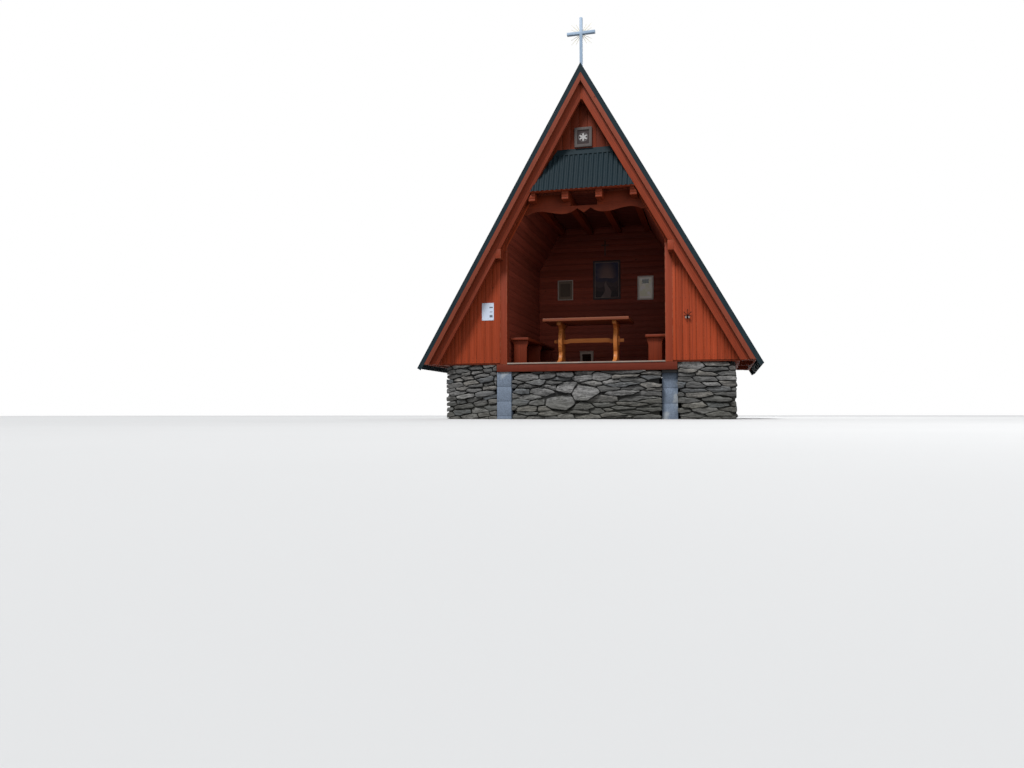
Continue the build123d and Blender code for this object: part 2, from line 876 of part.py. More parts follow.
def bracket():
    """A small wrought-iron bracket with a fan of pointed prongs and two cups."""
    x = bracket_place[0]
    z = floor_z + bracket_place[1]
    w, h, t = bracket_plate
    back = wall_y - bracket_reach
    shape = box(x - w / 2, x + w / 2, wall_y - t, wall_y, z - h / 2, z + h / 2)
    hub_length = bracket_reach + prong_t
    shape += Pos(x, wall_y - hub_length / 2, z) * Rot(90, 0, 0) * Cylinder(bracket_hub, hub_length)
    middle = (prong_count - 1) / 2
    for i in range(prong_count):
        share = abs(i - middle) / middle
        reach = prong_length + (side_prong_length - prong_length) * share
        angle = prong_first + (180 - 2 * prong_first) * i / (prong_count - 1)
        outline = [
            (0, -prong_root / 2), (reach / 2, -prong_belly / 2), (reach, 0),
            (reach / 2, prong_belly / 2), (0, prong_root / 2),
        ]
        leaf = make_face(Polyline(*outline, close=True))
        shape += extrude(front_plane(back) * Pos(x, z, 0) * Rot(0, 0, angle) * leaf, prong_t)
    bar_z = z - cup_drop
    half = cup_spacing / 2
    front = back - prong_t
    shape += box(x - half, x + half, front, back, bar_z - prong_t / 2, bar_z + prong_t / 2)
    shape += box(x - prong_t / 2, x + prong_t / 2, front, back, bar_z, z)
    for side in (-1, 1):
        shape += Pos(x + side * half, back - prong_t / 2, bar_z) * Cylinder(cup_radius, cup_h)
    write("wall_bracket", shape)


def main():
    os.makedirs("parts", exist_ok=True)
    plinth()
    piers()
    floor_frame()
    purlin, held = wall_frame()
    rafters(held)
    roof()
    front_walls(purlin)
    back_wall(purlin)
    niche()
    pent_roof()
    ridge_cross()
    table()
    benches()
    wall_things()
    vent()
    bracket()


main()
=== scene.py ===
"""Looks of a small open-fronted timber chapel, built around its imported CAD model."""

from math import atan2, cos, hypot, pi, radians, sin, tan
from random import Random

import bmesh
import bpy
from bpy.props import FloatProperty, FloatVectorProperty, IntProperty, PointerProperty
from bpy.types import Operator, Panel, PropertyGroup
from mathutils import Matrix, Vector, noise


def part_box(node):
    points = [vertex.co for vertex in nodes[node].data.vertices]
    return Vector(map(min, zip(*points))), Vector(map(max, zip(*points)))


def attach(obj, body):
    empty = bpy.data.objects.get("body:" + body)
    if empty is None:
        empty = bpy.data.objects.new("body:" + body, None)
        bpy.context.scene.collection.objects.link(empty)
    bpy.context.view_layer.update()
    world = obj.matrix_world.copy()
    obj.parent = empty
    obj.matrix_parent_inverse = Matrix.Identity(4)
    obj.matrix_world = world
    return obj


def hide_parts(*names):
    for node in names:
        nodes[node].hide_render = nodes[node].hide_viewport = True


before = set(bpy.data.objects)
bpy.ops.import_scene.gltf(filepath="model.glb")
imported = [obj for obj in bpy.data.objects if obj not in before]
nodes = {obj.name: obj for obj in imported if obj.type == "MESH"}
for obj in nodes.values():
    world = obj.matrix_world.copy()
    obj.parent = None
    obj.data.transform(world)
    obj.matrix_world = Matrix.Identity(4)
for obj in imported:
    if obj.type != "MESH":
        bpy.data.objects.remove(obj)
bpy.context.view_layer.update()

bl_info = {
    "name": "Timber chapel",
    "version": (1, 0, 0),
    "blender": (4, 5, 0),
    "location": "View3D > Sidebar > Chapel",
    "description": "Dresses a small timber chapel: boards, dry stone, ribbed roof and the things inside",
    "category": "Object",
}

X, Y, Z = Vector((1, 0, 0)), Vector((0, 1, 0)), Vector((0, 0, 1))

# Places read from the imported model
roof_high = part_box("verge_flashings")[1]
wall_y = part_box("front_wall_right")[0].y
niche_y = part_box("niche_back")[0].y
EAVES_HEIGHT = 0.865
pitch = atan2(roof_high.z - EAVES_HEIGHT, roof_high.x)
down_right = Vector((cos(pitch), 0, -sin(pitch)))
out_right = Vector((sin(pitch), 0, cos(pitch)))


def length(label, told, value):
    return FloatProperty(name=label, description=told, default=value, unit="LENGTH")


def turn(label, told, degrees):
    return FloatProperty(name=label, description=told, default=radians(degrees), unit="ROTATION")


def colour(label, told, value):
    return FloatVectorProperty(name=label, description=told, default=value, subtype="COLOR")


class ChapelSizes(PropertyGroup):
    """Sizes of the detail that a user would change."""

    wall_board: length("Wall board", "Width of the upright boards outside", 0.143)
    lining_board: length("Lining board", "Width of the planks inside the niche", 0.118)
    floor_board: length("Floor board", "Width of the floor boards", 0.135)
    roof_board: length("Roof board", "Width of the boards under the roof", 0.16)
    table_board: length("Table board", "Width of the planks of the table", 0.205)
    board_gap: length("Board gap", "Open joint between two boards", 0.005)
    arris: length("Arris", "Rounding of the edges of beams and posts", 0.006)
    board_arris: length("Board arris", "Rounding of the edges of boards", 0.003)
    rib_pitch: length("Rib pitch", "Distance between two ribs of the roof sheet", 0.09)
    rib_height: length("Rib height", "Height of a rib of the roof sheet", 0.019)
    sheet_thickness: length("Sheet thickness", "Thickness of the roof sheet", 0.0012)
    stone_joint: length("Stone joint", "Open joint between two stones", 0.010)
    stone_depth: length("Stone depth", "Depth of the stones of the plinth", 0.13)
    stone_relief: length("Stone relief", "How far stones stand out or back", 0.012)
    vent_slats: IntProperty(
        name="Vent slats", description="Number of slats in the vent", default=6, min=2, max=12)


class ChapelColours(PropertyGroup):
    """Colours of the finishes."""

    stain: colour("Stain", "Stained wood, lit side", (0.37, 0.055, 0.016))
    stain_deep: colour("Deep stain", "Stained wood, dark grain", (0.20, 0.030, 0.010))
    beam: colour("Beam stain", "Stained beams, lit side", (0.33, 0.052, 0.019))
    beam_deep: colour("Deep beam stain", "Stained beams, dark grain", (0.15, 0.027, 0.012))
    # The sill's dark colour is partly weathering and partly painted shade under the edge of the wall.
    sill: colour("Sill stain", "Weathered sill beams", (0.135, 0.021, 0.009))
    # The niche's stain is darker than the outside one: partly a darker stain, partly painted shade of the deep niche.
    # Its linings, floor and ceiling take it.
    inside: colour("Inside stain", "Stained wood of the niche", (0.25, 0.052, 0.029))
    inside_deep: colour("Inside deep stain", "Dark grain of the niche", (0.14, 0.028, 0.017))
    honey: colour("Honey wood", "Varnished table wood", (0.56, 0.20, 0.045))
    honey_deep: colour("Deep honey wood", "Dark grain of the table", (0.26, 0.075, 0.016))
    table_top: colour("Table top", "Darker varnished top", (0.19, 0.052, 0.024))
    bare: colour("Bare wood", "Wood where its stain has worn off", (0.42, 0.18, 0.10))
    grey_wood: colour("Grey wood", "Weathered wood", (0.36, 0.30, 0.26))
    dark_wood: colour("Dark wood", "Dark stained wood", (0.075, 0.038, 0.028))
    roof: colour("Roof paint", "Paint of the metal roof", (0.009, 0.019, 0.025))
    stone: colour("Stone", "Lighter stones of the plinth", (0.235, 0.230, 0.226))
    stone_deep: colour("Deep stone", "Darker stones of the plinth", (0.080, 0.079, 0.077))
    concrete: colour("Concrete", "Cast blocks of the piers", (0.20, 0.25, 0.33))
    steel: colour("Steel", "Metal of the ridge cross", (0.31, 0.42, 0.56))
    gilt: colour("Gilt", "Rays of the ridge cross", (0.42, 0.36, 0.14))
    iron: colour("Iron", "Wrought iron", (0.010, 0.007, 0.007))
    paper: colour("Paper", "Paper in its sleeve", (0.58, 0.65, 0.78))


class ChapelView(PropertyGroup):
    """The camera and the light."""

    place: FloatVectorProperty(
        name="Camera place", description="Where the camera stands", default=(2.165, -14.589, 0.075), subtype="XYZ")
    yaw: turn("Yaw", "Turn of the camera to the left", 14.41)
    rise: turn("Rise", "Tilt of the camera upwards", 2.17)
    roll: turn("Roll", "Turn of the camera about its line of sight", -0.04)
    focal: FloatProperty(name="Focal length", description="Focal length in millimetres", default=28.49)
    key: FloatProperty(name="Key light", description="Strength of the main light", default=3.05)
    sky: FloatProperty(name="Sky light", description="Strength of the light from all round", default=0.32)


# Shader nodes

class Shade:
    """A value or colour in a shader tree. A sum written with it adds its math nodes."""

    def __init__(self, tree, socket):
        self.tree, self.socket = tree, socket

    def maths(self, operation, other=0.0, clamp=False):
        return add("Math", {0: self, 1: other}, operation=operation, use_clamp=clamp)[0]

    def __add__(self, other):
        return self.maths("ADD", other)

    def __sub__(self, other):
        return self.maths("SUBTRACT", other)

    def __mul__(self, other):
        return self.maths("MULTIPLY", other)

    def __abs__(self):
        return self.maths("ABSOLUTE")

    def between(self, low, high):
        """0 below low, 1 above high, smooth in between."""
        return add("MapRange", {"Value": self, "From Min": low, "From Max": high}, interpolation_type="SMOOTHSTEP")[0]

    def feed(self, socket):
        self.tree.links.new(self.socket, socket)


class Outputs:
    """The outputs of a node, by place or name."""

    def __init__(self, tree, sockets):
        self.tree, self.sockets = tree, sockets

    def __getitem__(self, key):
        return Shade(self.tree, self.sockets[key])


def fill(sockets, inputs):
    """Joins each input to a shade or gives it a plain value."""
    for key, value in dict(inputs).items():
        if isinstance(value, Shade):
            value.feed(sockets[key])
        else:
            sockets[key].default_value = value


def add(kind, inputs=(), tree=None, **settings):
    """Adds a shader node to the tree of its inputs, or to the one given."""
    tree = tree or next(value.tree for value in inputs.values() if isinstance(value, Shade))
    made = tree.nodes.new("ShaderNode" + kind)
    for key, value in settings.items():
        setattr(made, key, value)
    fill(made.inputs, inputs)
    return Outputs(tree, made.outputs)


def rgb(colour, level=1.0):
    return (*(part * level for part in colour[:3]), 1.0)


def mix(factor, first, second, blend="MIX"):
    return add("Mix", {0: factor, 6: first, 7: second}, data_type="RGBA", blend_type=blend)[2]


def tinted(factor, colour, low, high):
    """A colour at two levels."""
    return mix(factor, rgb(colour, low), rgb(colour, high))


def scaled(vector, scale, place=(0, 0, 0)):
    return add("Mapping", {"Vector": vector, "Scale": scale, "Location": place})[0]


def clouds(vector, scale, detail=3.0, rough=0.55, warp=0.0):
    return add("TexNoise", {
        "Vector": vector, "Scale": scale, "Detail": detail, "Roughness": rough, "Distortion": warp})[0]


def reach_of(across, up):
    """How far a place is from the middle."""
    return add("VectorMath", {0: add("CombineXYZ", {"X": across, "Y": up})[0]}, operation="LENGTH")["Value"]


def ramp(value, *stops):
    """A colour ramp; each stop is a place and a colour."""
    made = add("ValToRGB", {0: value})[0]
    elements = made.socket.node.color_ramp.elements
    while len(elements) < len(stops):
        elements.new(0.5)
    for element, (place, colour) in zip(elements, stops):
        element.position = place
        element.color = rgb(colour)
    return made


def shared(name, inputs):
    """Turns a function into one that gives the node group it builds. Inputs of None are vectors."""
    def wrap(build):
        def give():
            found = bpy.data.node_groups.get(name)
            if found:
                return found
            tree = bpy.data.node_groups.new(name, "ShaderNodeTree")
            for label, value in inputs.items():
                kind = "NodeSocketVector" if value is None else "NodeSocketFloat"
                socket = tree.interface.new_socket(name=label, in_out="INPUT", socket_type=kind)
                if value is not None:
                    socket.default_value = value
            results = build(Outputs(tree, tree.nodes.new("NodeGroupInput").outputs))
            for label in results:
                tree.interface.new_socket(name=label, in_out="OUTPUT", socket_type="NodeSocketFloat")
            fill(tree.nodes.new("NodeGroupOutput").inputs, results)
            return tree
        return give
    return wrap


@shared("Timber grain", {"Grain": None})
def timber_grain(start):
    """Fibres, year rings and knots of a piece of timber, along its own grain."""
    grain = start["Grain"]
    sway = clouds(scaled(grain, (0.9, 5, 5)), 1.0, 2.0)
    pith = add("VectorMath", {0: grain, 1: add("CombineXYZ", {"Y": sway * 0.05})[0]}, operation="ADD")[0]
    rings = add("TexWave", {
        "Vector": scaled(pith, (0.08, 1, 1)), "Scale": 24.0, "Distortion": 1.1, "Detail": 2.0,
        "Detail Scale": 1.2}, wave_type="RINGS", rings_direction="X", wave_profile="SAW")[1]
    fibre = clouds(scaled(grain, (5, 230, 230)), 1.0, 3.0, 0.65)
    cells = add("TexVoronoi", {"Vector": scaled(grain, (3.2, 4.6, 4.6)), "Scale": 1.0})
    chosen = add("SeparateColor", {0: cells[1]})[0].between(0.62, 0.66)
    knot = chosen * cells[0].between(0.075, 0.035)
    return {"Figure": rings * 0.34 + fibre * 0.66, "Fibre": fibre, "Knot": knot, "Height": fibre - rings * 0.35}


@shared("Weather", {"Position": None, "Normal": None, "Splash height": 0.5})
def weather(start):
    """Rain streaks down a surface, splashes near the ground and dust on what faces up."""
    place = start["Position"]
    streaks = clouds(scaled(place, (14, 14, 0.7)), 1.0, 3.0, 0.6).between(0.45, 0.75)
    height = add("SeparateXYZ", {0: place})[2]
    splash = (height - clouds(place, 5.0, 3.0) * 0.35).between(start["Splash height"], 0.0)
    up = add("SeparateXYZ", {0: start["Normal"]})[2]
    dust = up.between(0.35, 0.95) * clouds(place, 9.0, 4.0).between(0.3, 0.65)
    return {"Streaks": streaks, "Splash": splash, "Dust": dust}


@shared("Edge wear", {"Position": None, "Worn": 0.0, "Amount": 1.0})
def edge_wear(start):
    """Where a rounded edge has lost its finish, in patches."""
    patches = clouds(start["Position"], 17.0, 4.0, 0.7).between(0.42, 0.6)
    return {"Mask": (start["Worn"] * patches).maths("MULTIPLY", start["Amount"], True)}


@shared("Rough stone", {"Position": None})
def rough_stone(start):
    """Bedding, split layers, pits and lichen of a stone."""
    place = start["Position"]
    bed = clouds(scaled(place, (7, 7, 46)), 1.0, 4.0, 0.6, 0.4)
    lumps = clouds(place, 22.0, 6.0, 0.62)
    grit = clouds(place, 160.0, 3.0, 0.6)
    split = clouds(scaled(place, (3.4, 3.4, 24)), 1.0, 4.0, 0.6, 0.5)
    layers = abs(split - 0.5).between(0.055, 0.01)
    lichen = clouds(place, 31.0, 3.0, 0.5, 0.6).between(0.63, 0.7) * clouds(place, 2.6, 2.0).between(0.5, 0.62)
    height = bed * 0.7 + lumps * 0.8 + grit * 0.12 - layers * 0.35
    return {"Shade": lumps * 0.6 + grit * 0.4, "Lichen": lichen, "Layers": layers, "Height": height}


# Finishes

class Finish:
    """A material in the making. Its colour is laid on in coats."""

    def __init__(self, name):
        self.made = bpy.data.materials.new(name)
        self.made.use_nodes = True
        self.tree = self.made.node_tree
        self.place = add("TexCoord", tree=self.tree)["Object"]

    def attribute(self, name, output=2):
        return add("Attribute", tree=self.tree, attribute_name=name)[output]

    def weather(self, **inputs):
        normal = add("NewGeometry", tree=self.tree)["Normal"]
        return add("Group", {"Position": self.place, "Normal": normal, **inputs}, node_tree=weather())

    def worn(self, amount):
        inputs = {"Position": self.place, "Worn": self.attribute("worn"), "Amount": amount}
        return add("Group", inputs, node_tree=edge_wear())[0]

    def coat(self, factor, colour, level=1.0):
        self.colour = mix(factor, self.colour, colour if isinstance(colour, Shade) else rgb(colour, level))

    def done(self, rough, bump=None, **values):
        """Joins the colour, the roughness, a bump of height, strength and distance, and other values."""
        inputs = self.made.node_tree.nodes["Principled BSDF"].inputs
        fill(inputs, {"Base Color": self.colour, "Roughness": rough})
        fill(inputs, {key.replace("_", " "): value for key, value in values.items()})
        if bump:
            fill(inputs, {"Normal": add("Bump", dict(zip(("Height", "Strength", "Distance"), bump)))[0]})
        return self.made


def wood(name, light, dark, bare, rough, wear, rain, shine=0.0):
    """Stained or varnished wood: grain, knots, tone of each board, worn edges, rain and dust."""
    made = Finish(name)
    grain = add("Group", {"Grain": made.attribute("grain", 1)}, node_tree=timber_grain())
    air, worn = made.weather(), made.worn(wear)
    level = made.attribute("tone") * 0.34 + 0.83
    made.colour = mix(grain["Figure"].between(0.22, 0.86), rgb(light), rgb(dark))
    made.colour = mix(1.0, made.colour, add("CombineColor", {0: level, 1: level, 2: level})[0], "MULTIPLY")
    made.coat(grain["Knot"] * 0.75, dark, 0.4)
    made.coat(air["Streaks"] * rain, dark, 0.8)
    made.coat(air["Dust"] * (0.35 * rain), (0.30, 0.27, 0.24))
    made.coat(worn, bare)
    gloss = grain["Fibre"] * 0.25 + (rough - 0.12)
    return made.done(
        gloss.maths("ADD", worn * 0.2, True), (grain["Height"], 0.5, 0.0012), Specular_IOR_Level=0.16,
        Coat_Weight=shine, Coat_Roughness=0.25)


def roof_paint(name, colour):
    """Coated sheet metal with dust, faint streaks and scuffed folds."""
    made = Finish(name)
    air, worn = made.weather(), made.worn(0.35)
    patches = clouds(made.place, 1.7, 4.0)
    made.colour = tinted(patches, colour, 0.75, 1.35)
    made.coat(air["Streaks"] * 0.3, (0.034, 0.045, 0.048))
    made.coat(air["Dust"] * 0.2, (0.07, 0.075, 0.07))
    made.coat(clouds(made.place, 95.0, 2.0).between(0.68, 0.74) * 0.4, (0.14, 0.15, 0.12))
    made.coat(worn, (0.22, 0.24, 0.25))
    waves = clouds(scaled(made.place, (2.2, 7, 2.2)), 1.0, 2.0)
    return made.done(patches * 0.2 + 0.46 + air["Streaks"] * 0.15, (waves, 0.35, 0.004), Specular_IOR_Level=0.09)


def stone(name, light, dark):
    """Dry-laid stone: each stone has its own tone, from grey to brown."""
    made = Finish(name)
    face = add("Group", {"Position": made.place}, node_tree=rough_stone())
    air = made.weather(**{"Splash height": 0.3})
    own = ramp(
        made.attribute("tone"), (0.0, rgb(dark, 0.9)), (0.25, rgb(light, 0.5)), (0.5, (0.195, 0.180, 0.160)),
        (0.72, rgb(light, 1.15)), (0.86, rgb(light, 0.62)), (1.0, (0.125, 0.140, 0.155)))
    made.colour = mix(face["Shade"].between(0.38, 0.62), mix(0.75, own, rgb(dark)), own)
    # Dark lines along the split layers: the stone's bedding, darkened as painted shade under their small ledges.
    made.coat(face["Layers"] * 0.6, dark, 0.4)
    # Painted shade in the joints, with some dirt: darker towards each stone's rim, most along its lower edge.
    made.coat(add("SeparateXYZ", {0: made.attribute("grain", 1)})[0], dark, 0.22)
    made.coat(face["Lichen"] * 0.7, (0.33, 0.33, 0.28))
    made.coat(air["Splash"] * 0.45, (0.06, 0.06, 0.045))
    made.coat(air["Dust"] * 0.45, (0.32, 0.32, 0.30))
    return made.done(0.88, (face["Height"], 0.9, 0.016))


def concrete(name, colour):
    """Cast concrete with pores, damp patches and pale scale."""
    made = Finish(name)
    fine = clouds(made.place, 70.0, 4.0, 0.6)
    pores = add("TexVoronoi", {"Vector": made.place, "Scale": 75.0})[0].between(0.16, 0.08)
    made.colour = tinted(clouds(made.place, 5.0, 5.0, 0.6), colour, 0.72, 1.2)
    made.colour = mix(fine.between(0.35, 0.7), rgb(colour, 0.6), made.colour)
    made.coat(clouds(made.place, 3.0, 4.0).between(0.55, 0.68) * 0.5, (0.50, 0.52, 0.52))
    made.coat(pores * 0.7, colour, 0.3)
    return made.done(0.85, (fine - pores, 0.6, 0.003))


def metal(name, colour, rough, metallic, rust, shine=0.5):
    """Bare or coated metal with clouding, scratches and a little rust."""
    made = Finish(name)
    patches = clouds(made.place, 14.0, 4.0, 0.6)
    scratches = clouds(scaled(made.place, (220, 220, 14)), 1.0, 2.0)
    made.colour = tinted(patches, colour, 0.75, 1.2)
    spots = clouds(made.place, 33.0, 5.0, 0.7).between(0.56, 0.66) * rust
    made.coat(spots, (0.16, 0.065, 0.028))
    gloss = scratches * 0.22 + (rough - 0.1)
    return made.done(
        gloss.maths("ADD", spots * 0.4, True), (patches + scratches, 0.2, 0.001), Metallic=metallic,
        Specular_IOR_Level=shine)


def glaze(name, colour):
    """Glazed white ware."""
    made = Finish(name)
    made.colour = tinted(clouds(made.place, 60.0, 3.0), colour, 0.8, 1.0)
    return made.done(0.4, Coat_Weight=0.6)


def paper(name, colour, spots, coat=0.0):
    """Paper with fibres, slight buckling and age spots, bare or behind a clear cover."""
    made = Finish(name)
    made.colour = tinted(clouds(made.place, 260.0, 3.0, 0.7), colour, 0.9, 1.05)
    made.coat(clouds(made.place, 12.0, 4.0).between(0.45, 0.75) * spots, (0.30, 0.20, 0.11))
    return made.done(0.7, (clouds(made.place, 9.0, 2.0), 0.4, 0.003), Coat_Weight=coat, Coat_Roughness=0.12)


def panel_place(made, node, inner):
    """X and Z of a picture's panel, from -0.5 to 0.5 each way."""
    low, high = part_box(node)
    wide, tall = (high.x - low.x) * inner, (high.z - low.z) * inner
    centre = (low + high) / 2
    moved = scaled(made.place, (1 / wide, 1.0, 1 / tall), (-centre.x / wide, 0.0, -centre.z / tall))
    parts = add("SeparateXYZ", {0: moved})
    return parts[0], parts[2]


def landscape(name, node):
    """A plain painted landscape: rows of hills under an evening sky."""
    made = Finish(name)
    across, up = panel_place(made, node, 0.86)
    reach = reach_of(across, (up - 0.08) * 0.8)
    made.colour = mix(reach.between(0.1, 0.5), rgb((0.22, 0.150, 0.135)), rgb((0.018, 0.024, 0.062)))
    drift = clouds(scaled(made.place, (3, 1, 11)), 1.0, 4.0)
    made.coat(drift.between(0.5, 0.8) * 0.5, (0.13, 0.11, 0.12))
    hills = ((0.06, 2.1, 0.16, (0.040, 0.036, 0.060)), (-0.06, 3.0, 0.14, (0.070, 0.052, 0.055)),
             (-0.20, 4.2, 0.12, (0.036, 0.024, 0.026)), (-0.34, 6.0, 0.10, (0.014, 0.009, 0.010)))
    for index, (level, waves, swing, shade) in enumerate(hills):
        line = add("CombineXYZ", {"X": across * waves, "Y": 3.7 * index})[0]
        crest = clouds(line, 1.0, 3.0) * (swing * 2) + (level - swing)
        made.coat((up - crest).between(0.006, -0.006), shade)
    bend = (up * 14.0).maths("SINE") * 0.05
    path = (abs(across - bend) - (up * -0.42 - 0.01)).between(0.02, -0.01)
    made.coat(path * 0.8, (0.19, 0.15, 0.14))
    strokes = clouds(scaled(made.place, (90, 1, 50)), 1.0, 3.0)
    made.coat(strokes * 0.25, (0.07, 0.055, 0.06))
    return made.done(0.5, (strokes, 0.3, 0.001), Specular_IOR_Level=0.15)


def rosette(name, node):
    """A pale six-petalled rosette in a ring on a dark panel."""
    made = Finish(name)
    across, up = panel_place(made, node, 0.60)
    tall = up * 1.25
    reach = reach_of(across, tall)
    petals = abs((across.maths("ARCTAN2", tall) * 3.0).maths("COSINE"))
    flower = (reach - (petals * 0.28 + 0.13)).between(0.012, -0.012)
    ring = abs(reach - 0.44).between(0.022, 0.010)
    mask = flower.maths("MAXIMUM", ring * 0.5)
    mottle = clouds(made.place, 42.0, 4.0)
    ground = mix(mottle, rgb((0.022, 0.016, 0.017)), rgb((0.050, 0.036, 0.035)))
    made.colour = mix(mask, ground, mix(mottle, rgb((0.34, 0.33, 0.33)), rgb((0.50, 0.49, 0.48))))
    return made.done(0.45, (mask, 0.5, 0.004), Specular_IOR_Level=0.15)


def blank_notice(name, node, ground, field, block_colour, wide, low, high, cover=0.0):
    """A notice without any words: a pale border, a tinted field and one darker block."""
    made = Finish(name)
    across, up = panel_place(made, node, 0.88)
    mottle = clouds(made.place, 16.0, 4.0)
    side = abs(across)
    far = side.maths("MAXIMUM", abs(up))
    patches = clouds(made.place, 9.0, 3.0).between(0.35, 0.6)
    made.colour = mix(far.between(0.42, 0.36) * patches, rgb(ground), rgb(field))
    made.coat(mottle * 0.3, field, 0.6)
    soft = 0.01
    mask = side.between(wide, wide - soft) * (up.between(low, low + soft) * up.between(high, high - soft))
    made.coat(mask, tinted(mottle, block_colour, 0.8, 1.2))
    return made.done(
        0.55, (clouds(made.place, 30.0, 3.0), 0.2, 0.001), Specular_IOR_Level=0.2, Coat_Weight=cover,
        Coat_Roughness=0.08)


def paint(colour, level=1.0):
    """One of the scene's colours by its name, or plain numbers, at a level."""
    if isinstance(colour, str):
        colour = getattr(bpy.context.scene.chapel_colours, colour)
    return [part * level for part in colour]


# Of each wood: its light colour and level, its dark colour and level, roughness, wear and rain
WOODS = {
    "Stained boards": ("stain", 1, "stain_deep", 1, 0.55, 0.3, 0.35),
    # The barge boards' high wear gives pale edges: partly worn stain, partly a painted highlight along their arrises.
    "Barge wood": ((0.30, 0.072, 0.040), 1, (0.17, 0.036, 0.019), 1, 0.6, 0.7, 0.3),
    # Gable and scalloped boards: the stain at half its level is painted shade from the roof's overhang and the small
    # roof.
    "Gable boards": ("stain", 0.5, "stain_deep", 0.5, 0.55, 0.2, 0.2),
    "Stained beams": ("beam", 1, "beam_deep", 1, 0.55, 0.5, 0.3),
    # Sill wood: dark partly from weathering and partly as painted shade under the wall's edge.
    "Sill wood": ("sill", 1, "sill", 0.45, 0.65, 0.2, 0.15),
    "Roof boards": ("stain", 0.8, "stain_deep", 1, 0.55, 0.2, 0.1),
    "Inside boards": ("inside", 1, "inside_deep", 1, 0.55, 0.1, 0.1),
    # Joists and floor bearers: the stain at 0.6 of its level is painted shade of the niche.
    "Inside beams": ("stain", 0.6, "stain_deep", 0.6, 0.55, 0.2, 0.3),
    # Ceiling and the recess over the scalloped board: the niche's stain at half its level is painted shade.
    "Ceiling boards": ("inside", 0.5, "inside_deep", 0.5, 0.55, 0.0, 0.0),
    # Benches: the stain at under half its level is painted shade of the niche.
    "Bench wood": ("stain", 0.48, "stain_deep", 0.48, 0.55, 0.1, 0.3),
    "Floor boards": ("inside", 0.8, "inside_deep", 1, 0.55, 0.5, 0.2),
    "Table wood": ("honey", 1, "honey_deep", 1, 0.5, 0.3, 0.0),
    "Table top wood": ("table_top", 1, "table_top", 0.5, 0.45, 0.4, 0.0),
    "Worn threshold": ("grey_wood", 1, "grey_wood", 0.5, 0.6, 0.5, 0.2),
    "Grey wood": ("grey_wood", 1, "grey_wood", 0.6, 0.7, 0.2, 0.2),
    "Vent wood": ((0.62, 0.53, 0.46), 1, (0.42, 0.34, 0.29), 1, 0.7, 0.2, 0.2),
    "Dark wood": ("dark_wood", 1, "dark_wood", 0.5, 0.45, 0.2, 0.0),
    "Pale frame": ((0.52, 0.48, 0.43), 1, (0.34, 0.30, 0.26), 1, 0.5, 0.1, 0.0),
    "White frame": ((0.78, 0.80, 0.74), 1, (0.60, 0.61, 0.56), 1, 0.5, 0.1, 0.0),
    "Picture frame": ((0.055, 0.040, 0.040), 1, (0.030, 0.020, 0.022), 1, 0.45, 0.2, 0.0),
    "Rosette frame": ((0.115, 0.10, 0.096), 1, (0.07, 0.06, 0.057), 1, 0.6, 0.2, 0.1),
}
VARNISHED = {"Table wood": ("bare", 0.12), "Table top wood": ("honey", 0.1)}
OTHERS = {
    "Roof metal": lambda name: roof_paint(name, paint("roof")),
    "Stone": lambda name: stone(name, paint("stone"), paint("stone_deep")),
    # The stone core is very dark: painted shade in the joints between the stones.
    "Stone core": lambda name: stone(name, paint("stone_deep", 0.3), paint("stone_deep", 0.15)),
    "Concrete": lambda name: concrete(name, paint("concrete")),
    "Cross steel": lambda name: metal(name, paint("steel"), 0.5, 0.0, 0.08),
    "Gilt": lambda name: metal(name, paint("gilt"), 0.4, 0.35, 0.1),
    "Iron": lambda name: metal(name, paint("iron"), 0.65, 0.0, 0.1, 0.1),
    "Zinc": lambda name: metal(name, (0.34, 0.36, 0.38), 0.4, 0.8, 0.15),
    "White ware": lambda name: glaze(name, (0.30, 0.235, 0.215)),
    "Sleeved paper": lambda name: paper(name, paint("paper"), 0.05, 0.5),
    "Grey ink": lambda name: paper(name, (0.11, 0.12, 0.14), 0.0, 0.3),
    "Card": lambda name: paper(name, (0.80, 0.82, 0.74), 0.1),
    "Landscape": lambda name: landscape(name, "altar_picture"),
    "Rosette": lambda name: rosette(name, "gable_picture"),
    "Aged notice": lambda name: blank_notice(
        name, "notice_left", (0.155, 0.12, 0.09), (0.105, 0.080, 0.055), (0.065, 0.048, 0.034), 0.38, -0.36, 0.36),
    "Green notice": lambda name: blank_notice(
        name, "notice_right", (0.90, 0.93, 0.84), (0.78, 0.82, 0.56), (0.040, 0.055, 0.048), 0.23, 0.20, 0.42, 1.0),
}


def finish(name):
    """The finish of that name, made on its first use."""
    found = bpy.data.materials.get(name)
    if found:
        return found
    if name in OTHERS:
        return OTHERS[name](name)
    light, light_level, dark, dark_level, *values = WOODS[name]
    bare, shine = VARNISHED.get(name, ("bare", 0.0))
    return wood(name, paint(light, light_level), paint(dark, dark_level), paint(bare), *values, shine)


# Mesh tools

MERGE = 0.00002
CUT = 0.00001


def everything(bm):
    return bm.verts[:] + bm.edges[:] + bm.faces[:]


def box_middle(low, high):
    return (low + high) / 2


def solids(node):
    """The solids of a CAD node, merged, their triangles joined into flat faces."""
    bm = bmesh.new()
    bm.from_mesh(nodes[node].data)
    bmesh.ops.remove_doubles(bm, verts=bm.verts, dist=MERGE)
    bmesh.ops.dissolve_limit(bm, angle_limit=0.008, verts=bm.verts, edges=bm.edges)
    return separate(bm)


def islands(bm):
    """The places of the vertices of each separate part of a bmesh."""
    bm.verts.index_update()
    left = dict.fromkeys(bm.verts)
    while left:
        group = dict.fromkeys([next(iter(left))])
        queue = list(group)
        while queue:
            for edge in queue.pop().link_edges:
                for vert in edge.verts:
                    if vert not in group:
                        group[vert] = None
                        queue.append(vert)
        for vert in group:
            del left[vert]
        yield {vert.index for vert in group}


